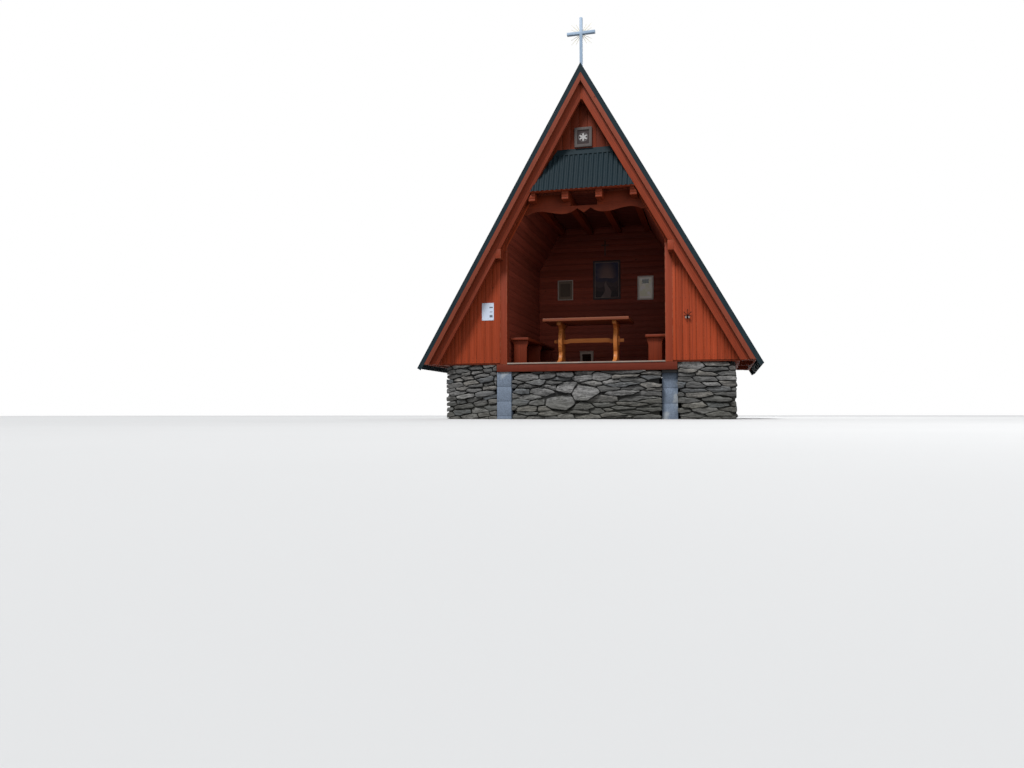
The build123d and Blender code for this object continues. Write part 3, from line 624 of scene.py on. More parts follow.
def separate(bm):
    """Splits a bmesh into one bmesh for each separate part."""
    groups = list(islands(bm))
    if len(groups) == 1:
        return [bm]
    parts = [bm.copy() for _ in groups]
    for part, members in zip(parts, groups):
        away = [vert for vert in part.verts if vert.index not in members]
        bmesh.ops.delete(part, geom=away, context="VERTS")
    bm.free()
    return parts


def is_sharp(edge):
    return edge.calc_face_angle(0.0) > radians(25)


def soften(bm, width, segments=2, chosen=is_sharp):
    """Rounds the sharp edges of a piece and marks the rounded faces as worn."""
    worn = bm.faces.layers.float.get("worn") or bm.faces.layers.float.new("worn")
    edges = [e for e in bm.edges if e.is_manifold and chosen(e)]
    made = bmesh.ops.bevel(
        bm, geom=edges, offset=width, offset_type="OFFSET", affect="EDGES", segments=segments,
        profile=0.5, material=-1, clamp_overlap=True)
    for face in made["faces"]:
        face[worn] = 1.0


def mark(bm, along, across, rng, tone=None):
    """Stores the grain's own coordinates and a tone on one piece of timber."""
    along = along.normalized()
    across = (across - along * along.dot(across)).normalized()
    turn = Matrix((along, across, along.cross(across)))
    grain = bm.verts.layers.float_vector.new("grain")
    level = bm.verts.layers.float.new("tone")
    centre = sum((v.co for v in bm.verts), Vector()) / len(bm.verts)
    shift = Vector((rng.uniform(0, 30), rng.uniform(-0.09, 0.09), rng.uniform(0.02, 0.14)))
    shade = rng.random() if tone is None else tone
    for vert in bm.verts:
        vert[grain] = turn @ (vert.co - centre) + shift
        vert[level] = shade


def gather(parts):
    """One bmesh of several parts, with the marks of each."""
    whole = bmesh.new()
    whole.verts.layers.float_vector.new("grain")
    whole.verts.layers.float.new("tone")
    whole.faces.layers.float.new("worn")
    for part in parts:
        mesh = bpy.data.meshes.new("part")
        part.to_mesh(mesh)
        part.free()
        whole.from_mesh(mesh)
        bpy.data.meshes.remove(mesh)
    return whole


def piece(name, parts, materials, slot, *replaced, smooth=30):
    """Makes a finished piece that rides on the building and may stand for CAD nodes."""
    bm = gather(parts) if isinstance(parts, list) else parts
    mesh = bpy.data.meshes.new(name)
    bm.to_mesh(mesh)
    bm.free()
    for material in [materials] if isinstance(materials, str) else materials:
        mesh.materials.append(finish(material))
    mesh.polygons.foreach_set("use_smooth", [True] * len(mesh.polygons))
    mesh.set_sharp_from_angle(angle=radians(smooth))
    made = bpy.data.objects.new(name, mesh)
    bpy.context.scene.collection.objects.link(made)
    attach(made, "root")
    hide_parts(*replaced)
    return made


def softened(name, material, slot, node, width, segments=2):
    """A piece of metal or the like: the solids of a CAD node with rounded edges."""
    parts = solids(node)
    for part in parts:
        soften(part, width, segments)
    return piece(name, parts, material, slot, node)


def longest(bm):
    edge = max(bm.edges, key=lambda e: e.calc_length())
    return edge.verts[1].co - edge.verts[0].co


def side_of(along):
    """A direction square to the grain, level where it can be."""
    return X if abs(along.normalized().x) < 0.6 else Y


def timber(name, material, slot, *replaced, arris=None, along=None, smooth=30):
    """Beams, posts and the like: the CAD solids with rounded arrises and their own grain."""
    rng = Random(name)
    parts = [part for node in replaced for part in solids(node)]
    for part in parts:
        grain = along or longest(part)
        soften(part, arris or bpy.context.scene.chapel_sizes.arris)
        mark(part, grain, side_of(grain), rng)
    return piece(name, parts, material, slot, *replaced, smooth=smooth)


def cut(bm, point, away, clear=True):
    """Cuts along a plane and clears what lies beyond it."""
    return bmesh.ops.bisect_plane(
        bm, geom=everything(bm), dist=CUT, plane_co=point, plane_no=away, clear_outer=clear)["geom_cut"]


def trim(bm, *planes):
    """Cuts away what lies beyond each plane, given as a point and a direction, and closes the cut."""
    for point, away in planes:
        rim = [g for g in cut(bm, point, away) if isinstance(g, bmesh.types.BMEdge)]
        if rim:
            bmesh.ops.holes_fill(bm, edges=rim)


def score(bm, across, place, out, width=0.008, depth=0.003):
    """Scores a V-groove along the outer face of a board."""
    face = max(v.co.dot(out) for v in bm.verts)
    for shift in (-width / 2, 0.0, width / 2):
        cut(bm, across * (place + shift), across, False)
    for vert in bm.verts:
        if abs(vert.co.dot(across) - place) < 0.0002 and vert.co.dot(out) > face - 0.0005:
            vert.co -= out * depth


def reach_along(bm, way):
    """How far a part reaches along a direction, from and to."""
    places = [v.co.dot(way) for v in bm.verts]
    return min(places), max(places)


def slices(solid, along, across, width, rng, gap=None, arris=None, first=(), groove=None):
    """Cuts a plate into boards that lie side by side, each with rounded edges.
    first holds the widths of boards that differ, and groove the side that has a groove down its middle."""
    sizes = bpy.context.scene.chapel_sizes
    gap = sizes.board_gap if gap is None else gap
    start, high = reach_along(solid, across)
    low = start
    cuts = []
    for other in first:
        low += other
        cuts.append(low)
    count = max(1, round((high - low) / width))
    step = (high - low) / count
    cuts += [low + step * (i + rng.uniform(-0.06, 0.06)) for i in range(1, count)]
    edges = [start - 1.0, *cuts, high + 1.0]
    boards = []
    for near, far in zip(edges, edges[1:]):
        board = solid.copy()
        trim(board, (across * (near + gap / 2), -across), (across * (far - gap / 2), across))
        if not board.faces:
            board.free()
            continue
        soften(board, arris or sizes.board_arris)
        middle = (near + far) / 2
        if groove:
            score(board, across, middle, groove)
        mark(board, along, across, rng)
        boards.append(board)
    tongue(solid, along, across)
    return [*boards, solid]


def tongue(solid, along, across):
    """Thins a plate to the tongues in the middle of its boards, which close the joints against light."""
    through = along.cross(across).normalized()
    low, high = reach_along(solid, through)
    third = (high - low) / 3
    trim(solid, (through * (low + third), -through), (through * (high - third), through))
    for way in (along.normalized(), across.normalized()):
        low, high = reach_along(solid, way)
        share = 0.005 / (high - low)
        for vert in solid.verts:
            vert.co -= way * (vert.co.dot(way) - (low + high) / 2) * share
    mark(solid, along, across, Random(1), 0.0)


def boarding(name, material, slot, node, along, across, width, **options):
    """A wall, floor or ceiling of boards, cut from the plates of a CAD node."""
    rng = Random(name)
    boards = [board for solid in solids(node) for board in slices(solid, along, across, width, rng, **options)]
    return piece(name, boards, material, slot, node)


def block(size, centre, turn=None):
    """A plain block to shape further."""
    bm = bmesh.new()
    bmesh.ops.create_cube(bm, size=1.0)
    bmesh.ops.scale(bm, vec=size, verts=bm.verts)
    if turn:
        bmesh.ops.rotate(bm, cent=(0, 0, 0), matrix=turn, verts=bm.verts)
    bmesh.ops.translate(bm, vec=centre, verts=bm.verts)
    return bm


def block_between(low, high):
    return block(Vector(high) - Vector(low), box_middle(Vector(low), Vector(high)))


def stud(radius, height, segments, centre, axis, foot=None):
    """A low round head, such as of a nail or screw, that stands on a surface."""
    bm = bmesh.new()
    bmesh.ops.create_cone(
        bm, cap_ends=True, cap_tris=False, segments=segments, radius1=foot or radius, radius2=radius, depth=height)
    turn = axis.to_track_quat("Z", "Y").to_matrix()
    bmesh.ops.rotate(bm, cent=(0, 0, 0), matrix=turn, verts=bm.verts)
    bmesh.ops.translate(bm, vec=centre + axis * height / 2, verts=bm.verts)
    return bm


def forged(points, radii, sides=10):
    """A round bar through points of the front's plane, with its radius at each."""
    bm = bmesh.new()
    rings = []
    for i, (point, radius) in enumerate(zip(points, radii)):
        ahead = (points[min(i + 1, len(points) - 1)] - points[max(i - 1, 0)]).normalized()
        out = ahead.cross(Y)
        turns = [2 * pi * n / sides for n in range(sides)]
        rings.append([bm.verts.new(point + (Y * cos(turn) + out * sin(turn)) * radius) for turn in turns])
    for ring, following in zip(rings, rings[1:]):
        for i in range(sides):
            bm.faces.new((ring[i - 1], ring[i], following[i], following[i - 1]))
    bm.faces.new(rings[0])
    bm.faces.new(rings[-1])
    bmesh.ops.recalc_face_normals(bm, faces=bm.faces)
    return bm


def mirrored(bm):
    """The same part on the other side of the building."""
    other = bm.copy()
    bmesh.ops.scale(other, vec=(-1, 1, 1), verts=other.verts)
    bmesh.ops.reverse_faces(other, faces=other.faces)
    return other


def stand(bm, across, up, out, place):
    """Turns a part that was made flat so that its X, Y and Z lie as given, and moves it there."""
    matrix = Matrix((across, up, out)).transposed().to_4x4()
    matrix.translation = place
    bmesh.ops.transform(bm, matrix=matrix, verts=bm.verts)


# Dry stone: the courses' slope, then of each field its first and last place, its stones' height and width
# and how flat they lie. The large stones have their place, their reach and how flat they lie.

WING_COURSES = (0.10, (-9, 9, 0.078, 0.27, 3.6))
RIGHT_COURSES = (-0.03, (-9, 9, 0.074, 0.38, 4.6))
SIDE_COURSES = (0.03, (-9, 9, 0.084, 0.33, 4.0))
CENTRE_COURSES = (0.02, (-9, 0.47, 0.082, 0.30, 3.6), (0.47, 9, 0.062, 0.50, 6.5))
CENTRE_LARGE = (
    (-0.44, 0.28, 0.23, 1.3), (-0.32, 0.55, 0.13, 1.5), (-0.01, 0.45, 0.18, 1.2), (0.28, 0.70, 0.13, 1.8),
    (-1.02, 0.70, 0.18, 2.2))


def squashed(vector, dip, squash):
    """Heights above the bed, which may dip, count more than lengths, so that stones come out long and low."""
    return Vector((vector.x, (vector.y - dip * vector.x) * squash, 0))


def middles(z0, z1, courses, large, rng):
    """The stones of a wall, each as its middle, its reach and how flat it lies.
    The large ones come first, then uneven courses around them."""
    placed = [(Vector((u, z, 0)), reach, squash) for u, z, reach, squash in large]
    slope = courses[0]
    for first, last, high, wide, flat in courses[1:]:
        z = z0 - abs(slope) * 3.0
        while z < z1 + abs(slope) * 3.0:
            tall = high * rng.uniform(0.65, 1.4)
            u = max(first, -3.0) - wide * rng.random()
            while u < min(last, 3.0):
                step = wide * rng.uniform(0.4, 1.6)
                x = u + step / 2
                spot = Vector((x, z + slope * x + 0.02 * sin(3.1 * x) + tall * rng.uniform(-0.1, 0.1), 0))
                clear = all(squashed(spot - other, 0.0, squash).length > reach + 0.045
                            for other, reach, squash in placed[:len(large)])
                if clear and first <= x <= last and z0 - high / 2 < spot.y < z1 + high / 2:
                    placed.append((spot, 0.11 * rng.uniform(0.1, 1.2), flat * rng.uniform(0.7, 1.2)))
                u += step
            z += tall
    return placed


def outline_of(stone, placed, dip, low, high, gap):
    """The outline of one stone: what lies nearer to its middle than to any other."""
    spot, reach, flat = stone
    bm = bmesh.new()
    bmesh.ops.create_grid(bm, x_segments=1, y_segments=1, size=0.5)
    bmesh.ops.scale(bm, vec=high - low, verts=bm.verts)
    bmesh.ops.translate(bm, vec=(low + high) / 2, verts=bm.verts)
    near = sorted(placed, key=lambda item: squashed(item[0] - spot, dip, (item[2] + flat) / 2).length - item[1])
    for other, other_reach, other_flat in near[:26]:
        squash = (flat + other_flat) / 2
        away = squashed(other - spot, dip, squash)
        if away.length < 0.001:
            continue
        share = (away.length_squared + reach ** 2 - other_reach ** 2) / (2 * away.length)
        line = away.normalized()
        square = Vector((line.x - line.y * squash * dip, line.y * squash, 0)).normalized()
        cut(bm, spot + Vector((line.x, line.y / squash + dip * line.x, 0)) * share - square * gap / 2, square)
    outline = [v.co.copy() for v in bm.faces[:][0].verts] if bm.faces else []
    bm.free()
    return outline


def extent(outline, axis):
    return max(p[axis] for p in outline) - min(p[axis] for p in outline)


def one_stone(outline, rng, depth, tone):
    """A stone from its outline in the plane of the wall: worn corners, a wavy rim, a pillowed face and a weight of
    painted shade near its rim.
    """
    bm = bmesh.new()
    bm.faces.new([bm.verts.new(point) for point in outline])
    width, height = extent(outline, 0), extent(outline, 1)
    middle = sum(outline, Vector()) / len(outline)
    seed = Vector((0, 0, rng.uniform(0, 50)))
    for edge in bm.edges[:]:
        cuts = int(edge.calc_length() / 0.045)
        if cuts:
            bmesh.ops.bisect_edges(bm, edges=[edge], cuts=cuts)
    bmesh.ops.smooth_vert(bm, verts=bm.verts[:], factor=0.2, use_axis_x=True, use_axis_y=True)
    for vert in bm.verts:
        wander = noise.noise_vector(vert.co * 11 + seed)
        vert.co += Vector((wander.x * 0.018, wander.y * min(0.014, 0.2 * height), 0))
    if bm.faces[:][0].normal.z < 0:
        bmesh.ops.reverse_faces(bm, faces=bm.faces[:])
    rim = min(0.015, 0.22 * min(width, height))
    bmesh.ops.solidify(bm, geom=bm.faces[:], thickness=depth - rim)
    bm.normal_update()
    front = max(bm.faces, key=lambda f: f.calc_center_median().z)
    bmesh.ops.translate(bm, vec=Z * (-rim - front.calc_center_median().z), verts=bm.verts)
    at = Matrix.Translation(
        -Vector((middle.x + width * rng.uniform(-0.12, 0.12), middle.y + height * rng.uniform(-0.12, 0.12), 0)))
    across, up = 1.0, 1.0
    for inward, rise in ((0.25, 0.75), (0.75, 0.25), (0, 0.25), (0, -0.05)):
        front = bmesh.ops.extrude_discrete_faces(bm, faces=[front])["faces"][0]
        if inward:
            shrink = ((1 - 2 * inward * rim / width) / across, (1 - 2 * inward * rim / height) / up, 1)
            across, up = across * shrink[0], up * shrink[1]
        else:
            shrink = (0.68, 0.68, 1)
        bmesh.ops.scale(bm, vec=shrink, space=at, verts=front.verts)
        bmesh.ops.translate(bm, vec=Z * rim * rise, verts=front.verts)
    bmesh.ops.poke(bm, faces=[front], offset=rim * rng.uniform(-0.4, 0.7))
    level = bm.verts.layers.float.new("tone")
    shade = bm.verts.layers.float_vector.new("grain")
    for vert in bm.verts:
        vert[level] = tone
        # The grain attribute of a stone holds in X a weight of painted shade, with some dirt, in its joints: none on
        # its face, full at its rim, more along its lower edge.
        vert[shade] = X * min(1.0, max(0.0, -vert.co.z / rim)) * (0.66 - 0.9 * (vert.co.y - middle.y) / height)
    stood = rng.uniform(-2.4, 1.1) * bpy.context.scene.chapel_sizes.stone_relief
    lean, turn = rng.uniform(-0.5, 0.12), rng.uniform(-0.12, 0.12)
    for vert in bm.verts:
        if vert.co.z > -depth / 2:
            away = vert.co - middle
            vert.co.z += stood + away.y * lean + away.x * turn + noise.noise(vert.co * 9 + seed) * 0.016
            vert.co += noise.noise_vector(vert.co * 24) * 0.007
    bmesh.ops.recalc_face_normals(bm, faces=bm.faces)
    return bm


def stones(low, high, courses, large, rng):
    """A field of separate stones, X along the wall, Y up and Z outwards, with their faces near Z 0."""
    sizes = bpy.context.scene.chapel_sizes
    placed = middles(low.y, high.y, courses, large, rng)
    laid = []
    for index, stone in enumerate(placed):
        if not (low.x - 0.1 < stone[0].x < high.x + 0.1):
            continue
        gap = sizes.stone_joint * rng.choice((0.4, 0.7, 1.0, 1.4, 2.2))
        outline = outline_of(stone, placed, courses[0], low, high, gap)
        tone = 0.70 + 0.1 * rng.random() if index < len(large) else rng.random()
        if outline and extent(outline, 0) > 0.05 and extent(outline, 1) > 0.022:
            laid.append(one_stone(outline, rng, sizes.stone_depth, tone))
    return laid


def wall_of_stones(name, out, courses, large, rng, start, end, top):
    """One elevation of the plinth: its stones and a very dark core behind them, painted shade in the joints."""
    node = name.replace("stones", "plinth")
    low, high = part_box(node)
    middle = box_middle(low, high)
    face = middle.dot(out) + abs((high - low).dot(out)) / 2
    parts = stones(Vector((start, 0.004, 0)), Vector((end, top, 0)), courses, large, rng)
    for part in parts:
        stand(part, Z.cross(out), Z, out, out * face)
    # The core's very dark finish shows as painted shade in the joints.
    core = block((high - low) - Vector((0.10, 0.10, 0.03)), middle - Z * 0.014)
    for side in core.faces:
        side.material_index = 1
    return piece(name, [*parts, core], ["Stone", "Stone core"], "stone", node, smooth=24)


NOISE_SEED = 41


class CHAPEL_OT_plinth(Operator):
    """Lays the dry stone walls of the plinth"""
    bl_idname = "chapel.plinth"
    bl_label = "Plinth"

    def execute(self, context):
        noise.seed_set(NOISE_SEED)
        rng = Random(41)
        left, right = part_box("plinth_front_left"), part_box("plinth_front_right")
        back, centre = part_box("plinth_back"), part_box("plinth_front_centre")
        half, front_y, rear_y = right[1].x, right[0].y, back[1].y
        depth = context.scene.chapel_sizes.stone_depth + 0.004
        top, low_top = right[1].z, centre[1].z
        for name, out, courses, large, *reach in (
                ("front_left", -Y, WING_COURSES, (), -half, left[1].x, top),
                ("front_centre", -Y, CENTRE_COURSES, CENTRE_LARGE, centre[0].x, centre[1].x, low_top),
                ("front_right", -Y, RIGHT_COURSES, (), right[0].x, half, top),
                ("right", X, SIDE_COURSES, (), front_y + depth, rear_y - depth, top),
                ("left", -X, SIDE_COURSES, (), depth - rear_y, -depth - front_y, top),
                ("back", Y, SIDE_COURSES, (), -half, half, low_top)):
            wall_of_stones("stones_" + name, out, courses, large, rng, *reach)
        return {"FINISHED"}


class CHAPEL_OT_piers(Operator):
    """Casts the two concrete piers and lays the flat stone on the right one"""
    bl_idname = "chapel.piers"
    bl_label = "Piers"

    def execute(self, context):
        noise.seed_set(NOISE_SEED)
        softened("pier_blocks", "Concrete", "concrete", "concrete_piers", 0.005)
        slab = solids("pier_slab")[0]
        soften(slab, 0.009)
        for limit, cuts in ((0.16, 3), (0.06, 1)):
            edges = [e for e in slab.edges if e.calc_length() > limit]
            bmesh.ops.subdivide_edges(slab, edges=edges, cuts=cuts, use_grid_fill=True)
        for vert in slab.verts:
            vert.co += noise.noise_vector(vert.co * 9) * 0.005
        mark(slab, X, Y, Random("slab"), 0.4)
        piece("flat_stone", [slab], "Stone", "stone", "pier_slab", smooth=50)
        return {"FINISHED"}


class CHAPEL_OT_floor(Operator):
    """Makes the sill beams, the floor joists, the floor boards and the threshold"""
    bl_idname = "chapel.floor"
    bl_label = "Floor"

    def execute(self, context):
        sizes = context.scene.chapel_sizes
        timber("sill_beams", "Sill wood", "stained_wood", "front_sill_beam", "back_sill_beam")
        timber("floor_bearers", "Inside beams", "inside_wood", "floor_joists")
        timber("threshold_board", "Worn threshold", "inside_wood", "threshold", arris=0.006)
        boarding("floor_planks", "Floor boards", "inside_wood", "floor_boards", X, Y, sizes.floor_board)
        return {"FINISHED"}


class CHAPEL_OT_frame(Operator):
    """Makes the posts, purlins, plates, rafters and the ridge board"""
    bl_idname = "chapel.frame"
    bl_label = "Timber frame"

    def execute(self, context):
        timber("posts", "Stained beams", "stained_wood", "corner_posts", along=Z)
        timber("purlin_beams", "Stained beams", "stained_wood", "purlins")
        timber("wall_plates", "Stained beams", "stained_wood", "sole_plates", "eaves_plates")
        timber("gable_rafters", "Stained beams", "stained_wood", "verge_rafters")
        timber("hidden_rafters", "Roof boards", "stained_wood", "inner_rafters")
        timber("ridge_beam", "Stained beams", "stained_wood", "ridge_board")
        return {"FINISHED"}


def ribbed(start, across, down, out, width, length, rib_pitch, height, rows, taper=0.0):
    """Thin sheet with trapezoid ribs down a slope. start is the sheet's top corner, on its flat pans.
    taper is how much narrower each side is at the top."""
    foot, top, fold = 0.023, 0.013, 0.0025
    flank = Vector((foot - top, height)).normalized() * fold
    half = ((-foot - fold, 0), (flank.x - foot, flank.y), (-top - flank.x, height - flank.y), (fold - top, height))
    count = int(width / rib_pitch)
    first = (width - (count - 1) * rib_pitch) / 2
    bm = bmesh.new()
    for x, z in (*half, *((-x, z) for x, z in reversed(half))):
        bm.verts.new((first + x, 0, z))
    row_of(bm, rib_pitch, count, X)
    for x in (0.0, width):
        bm.verts.new((x, 0, 0))
    line = sorted(bm.verts, key=lambda v: v.co.x)
    edges = [bm.edges.new(pair) for pair in zip(line, line[1:])]
    for _ in range(rows):
        made = bmesh.ops.extrude_edge_only(bm, edges=edges)["geom"]
        moved = {g for g in made if isinstance(g, bmesh.types.BMVert)}
        edges = [g for g in made if isinstance(g, bmesh.types.BMEdge) and moved.issuperset(g.verts)]
        bmesh.ops.translate(bm, vec=(0, length / rows, 0), verts=list(moved))
    for vert in bm.verts:
        vert.co.z += noise.noise(vert.co * 1.7) * 0.0015
    bmesh.ops.recalc_face_normals(bm, faces=bm.faces)
    if sum(f.normal.z for f in bm.faces) < 0:
        bmesh.ops.reverse_faces(bm, faces=bm.faces)
    if taper:
        for foot_x, side in ((0.0, -1), (width, 1)):
            cut(bm, (foot_x, length, 0), (side * length, -taper, 0))
    bmesh.ops.solidify(bm, geom=bm.faces[:], thickness=bpy.context.scene.chapel_sizes.sheet_thickness)
    stand(bm, across, down, out, start)
    bmesh.ops.recalc_face_normals(bm, faces=bm.faces)
    return bm


def row_of(part, step, count, axis):
    """Repeats a small part along a straight line."""
    bmesh.ops.spin(
        part, geom=everything(part), cent=(0, 0, 0), axis=(0, 0, 1), dvec=axis * step, angle=0.0, steps=count - 1,
        use_duplicate=True)
    return part


class CHAPEL_OT_roof(Operator):
    """Builds the roof: boards, battens, ribbed sheet with screws, ridge cap, verge flashings and barge boards"""
    bl_idname = "chapel.roof"
    bl_label = "Roof"

    def execute(self, context):
        sizes = context.scene.chapel_sizes
        for side, node in ((1, "roof_boards_right"), (-1, "roof_boards_left")):
            down = Vector((side * down_right.x, 0, down_right.z))
            boarding(node + "_planks", "Roof boards", "stained_wood", node, Y, down, sizes.roof_board, gap=0.003)
        timber("battens", "Roof boards", "stained_wood", "roof_battens", arris=0.003)
        timber("barges", "Barge wood", "stained_wood", "barge_boards", arris=0.004)

        low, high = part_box("roof_sheet_right")
        pan_depth, cap_cover, foot_cover = 0.022, 0.065, 0.07
        width = high.y - low.y
        surface = Z * roof_high.z - out_right * pan_depth
        top = surface + down_right * cap_cover
        run = (surface.z - low.z) / sin(pitch) - foot_cover
        start = Vector((top.x, low.y, top.z))
        sheet = ribbed(start, Y, down_right, out_right, width, run, sizes.rib_pitch, sizes.rib_height, 14)
        piece("roof_sheet_left_ribs", mirrored(sheet), "Roof metal", "roof_metal", "roof_sheet_left")
        piece("roof_sheet_right_ribs", sheet, "Roof metal", "roof_metal", "roof_sheet_right")

        count = int(width / sizes.rib_pitch)
        first = low.y + (width - count * sizes.rib_pitch) / 2 + sizes.rib_pitch / 2
        heads = []
        place, row_step = 0.32, 0.8
        while place < run - 0.1:
            at = Vector((top.x, first, top.z)) + down_right * place + out_right * (sizes.rib_height + 0.0006)
            washer = stud(0.0075, 0.0016, 10, at, out_right, 0.009)
            screw = stud(0.0045, 0.005, 6, at + out_right * 0.0016, out_right)
            heads += [row_of(head, sizes.rib_pitch * 3, (count + 2) // 3, Y) for head in (washer, screw)]
            place += row_step
        heads += [mirrored(head) for head in heads]
        piece("roof_screws", heads, "Zinc", "roof_metal")

        softened("ridge_capping", "Roof metal", "roof_metal", "ridge_cap", 0.0012, 1)
        softened("verge_metal", "Roof metal", "roof_metal", "verge_flashings", 0.0012, 1)
        return {"FINISHED"}


# Nails in the wings: the heights of their rows, their first and last place, and how far the rafter covers a row
NAIL_ROWS = (0.985, 1.035, 1.95)
NAIL_FIRST, NAIL_LAST, RAFTER_COVER = 1.50, 2.70, 0.46


class CHAPEL_OT_walls(Operator):
    """Boards the front wings, the gable and the back wall, and trims the opening"""
    bl_idname = "chapel.walls"
    bl_label = "Boarded walls"

    def execute(self, context):
        width = context.scene.chapel_sizes.wall_board
        for name, material, node, share, options in (
                ("wing_boards_left", "Stained boards", "front_wall_left", 1, {"groove": -Y}),
                ("wing_boards_right", "Stained boards", "front_wall_right", 0.78,
                 {"first": (0.10, 0.17), "groove": -Y}),
                ("gable_boards", "Gable boards", "front_gable", 1, {}),
                ("back_boards", "Stained boards", "back_wall", 1, {})):
            boarding(name, material, "stained_wood", node, Z, X, width * share, **options)
        timber("opening_edges", "Stained boards", "stained_wood", "opening_trim", arris=0.003)
        rng = Random("nails")
        nails = []
        for z in NAIL_ROWS:
            rafter_edge = (roof_high.z - z) / tan(pitch) - RAFTER_COVER
            for side in (-1, 1):
                x = NAIL_FIRST
                while x < min(rafter_edge, NAIL_LAST):
                    across = side * (x + rng.uniform(-0.008, 0.008))
                    at = Vector((across, wall_y + 0.0005, z + rng.uniform(-0.006, 0.006)))
                    nails.append(stud(0.004, 0.0012, 8, at, -Y, 0.0045))
                    x += width / 2
        piece("wing_nails", nails, "Iron", "iron")
        return {"FINISHED"}


class CHAPEL_OT_niche(Operator):
    """Lines the niche and makes its ceiling, its joists and the scalloped board"""
    bl_idname = "chapel.niche"
    bl_label = "Niche"

    def execute(self, context):
        width = context.scene.chapel_sizes.lining_board
        rng = Random("niche")
        low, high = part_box("niche_linings")
        back_low, back_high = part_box("niche_back")
        corner = back_high.x
        deep, thick = 0.293, 0.022
        front = wall_y + thick
        post_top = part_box("corner_posts")[1].z
        outer = (Z * roof_high.z - out_right * (deep - thick), out_right)
        inner = Z * roof_high.z - out_right * deep
        upright = block_between((corner - thick, low.y, low.z), (corner, high.y, high.z))
        trim(upright, (inner, out_right))
        sloped = block_between((0, front, low.z), (corner, high.y, high.z))
        trim(sloped, outer, (inner, -out_right))
        planks = []
        for plate, up in ((upright, Z), (sloped, Vector((-down_right.x, 0, -down_right.z)))):
            planks += slices(mirrored(plate), Y, Vector((-up.x, 0, up.z)), width, rng)
            planks += slices(plate, Y, up, width, rng)
        head = block_between((corner - thick, front, post_top), (corner, low.y, high.z))
        trim(head, (inner, out_right))
        soften(head, 0.002, 1)
        for part in (mirrored(head), head):
            mark(part, Y, Z, rng)
            planks.append(part)
        piece("lining_planks", planks, "Inside boards", "inside_wood", "niche_linings")
        thin = {"gap": 0.003, "arris": 0.002}
        boarding("back_planks", "Inside boards", "inside_wood", "niche_back", X, Z, width, **thin)
        beam_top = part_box("back_sill_beam")[1].z
        middle_y = (back_low.y + back_high.y) / 2
        batten = block_between(
            (back_low.x + 0.01, middle_y - 0.006, beam_top), (corner - 0.01, middle_y + 0.006, back_low.z + 0.006))
        mark(batten, X, Z, Random(2), 0.1)
        piece("foot_batten", [batten], "Inside boards", "inside_wood")
        boarding("ceiling_planks", "Ceiling boards", "inside_wood", "ceiling_boards", X, Y, width, **thin)
        timber("joists", "Inside beams", "inside_wood", "ceiling_joists", arris=0.004)
        # The scalloped board's dark finish is painted shade under the small roof.
        timber("scalloped_board", "Gable boards", "stained_wood", "valance_board", arris=0.004)
        return {"FINISHED"}


class CHAPEL_OT_pent(Operator):
    """Makes the small ribbed roof over the front"""
    bl_idname = "chapel.pent"
    bl_label = "Small roof"

    def execute(self, context):
        sizes = context.scene.chapel_sizes
        low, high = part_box("pent_roof_sheet")
        edge_height, pan_depth, skip = 0.00715, 0.0145, 0.044
        rise, depth = high.z - low.z - edge_height, wall_y - low.y
        lean = atan2(rise, depth)
        down = Vector((0, -cos(lean), -sin(lean)))
        out = Vector((0, -sin(lean), cos(lean)))
        run = hypot(rise, depth) - skip - 0.001
        taper = run * sin(lean) / tan(pitch)
        start = Vector((-high.x, wall_y, high.z)) - out * pan_depth + down * skip
        sheet = ribbed(
            start, X, down, out, high.x * 2, run, sizes.rib_pitch * 0.9, sizes.rib_height - 0.004, 6, taper)
        piece("small_roof_ribs", sheet, "Roof metal", "roof_metal", "pent_roof_sheet")
        boarding("small_roof_planks", "Roof boards", "stained_wood", "pent_roof_boards", X, -down, 0.14)
        timber("small_roof_plate", "Stained beams", "stained_wood", "pent_fascia", arris=0.003)
        softened("small_roof_apron", "Roof metal", "roof_metal", "pent_apron", 0.0007, 1)
        return {"FINISHED"}


class CHAPEL_OT_cross(Operator):
    """Makes the cross on the ridge with its thin rays"""
    bl_idname = "chapel.cross"
    bl_label = "Ridge cross"

    def execute(self, context):
        softened("cross_bars", "Cross steel", "steel", "ridge_cross", 0.003)
        softened("gilt_rays", "Gilt", "gilt", "cross_rays", 0.0006, 1)
        return {"FINISHED"}


class CHAPEL_OT_table(Operator):
    """Makes the trestle table"""
    bl_idname = "chapel.table"
    bl_label = "Table"

    def execute(self, context):
        width = context.scene.chapel_sizes.table_board
        boarding("table_planks", "Table top wood", "honey_wood", "table_top", X, Y, width, gap=0.0025, arris=0.004)
        timber("trestles", "Table wood", "honey_wood", "table_trestles", arris=0.005, along=Z, smooth=35)
        timber("stretcher", "Table wood", "honey_wood", "table_stretcher", arris=0.004)
        return {"FINISHED"}


class CHAPEL_OT_benches(Operator):
    """Makes the bench seats and their supports"""
    bl_idname = "chapel.benches"
    bl_label = "Benches"

    def execute(self, context):
        timber("seats", "Bench wood", "inside_wood", "bench_seats", arris=0.009)
        timber("seat_supports", "Bench wood", "inside_wood", "bench_supports", arris=0.005, along=Z, smooth=35)
        return {"FINISHED"}


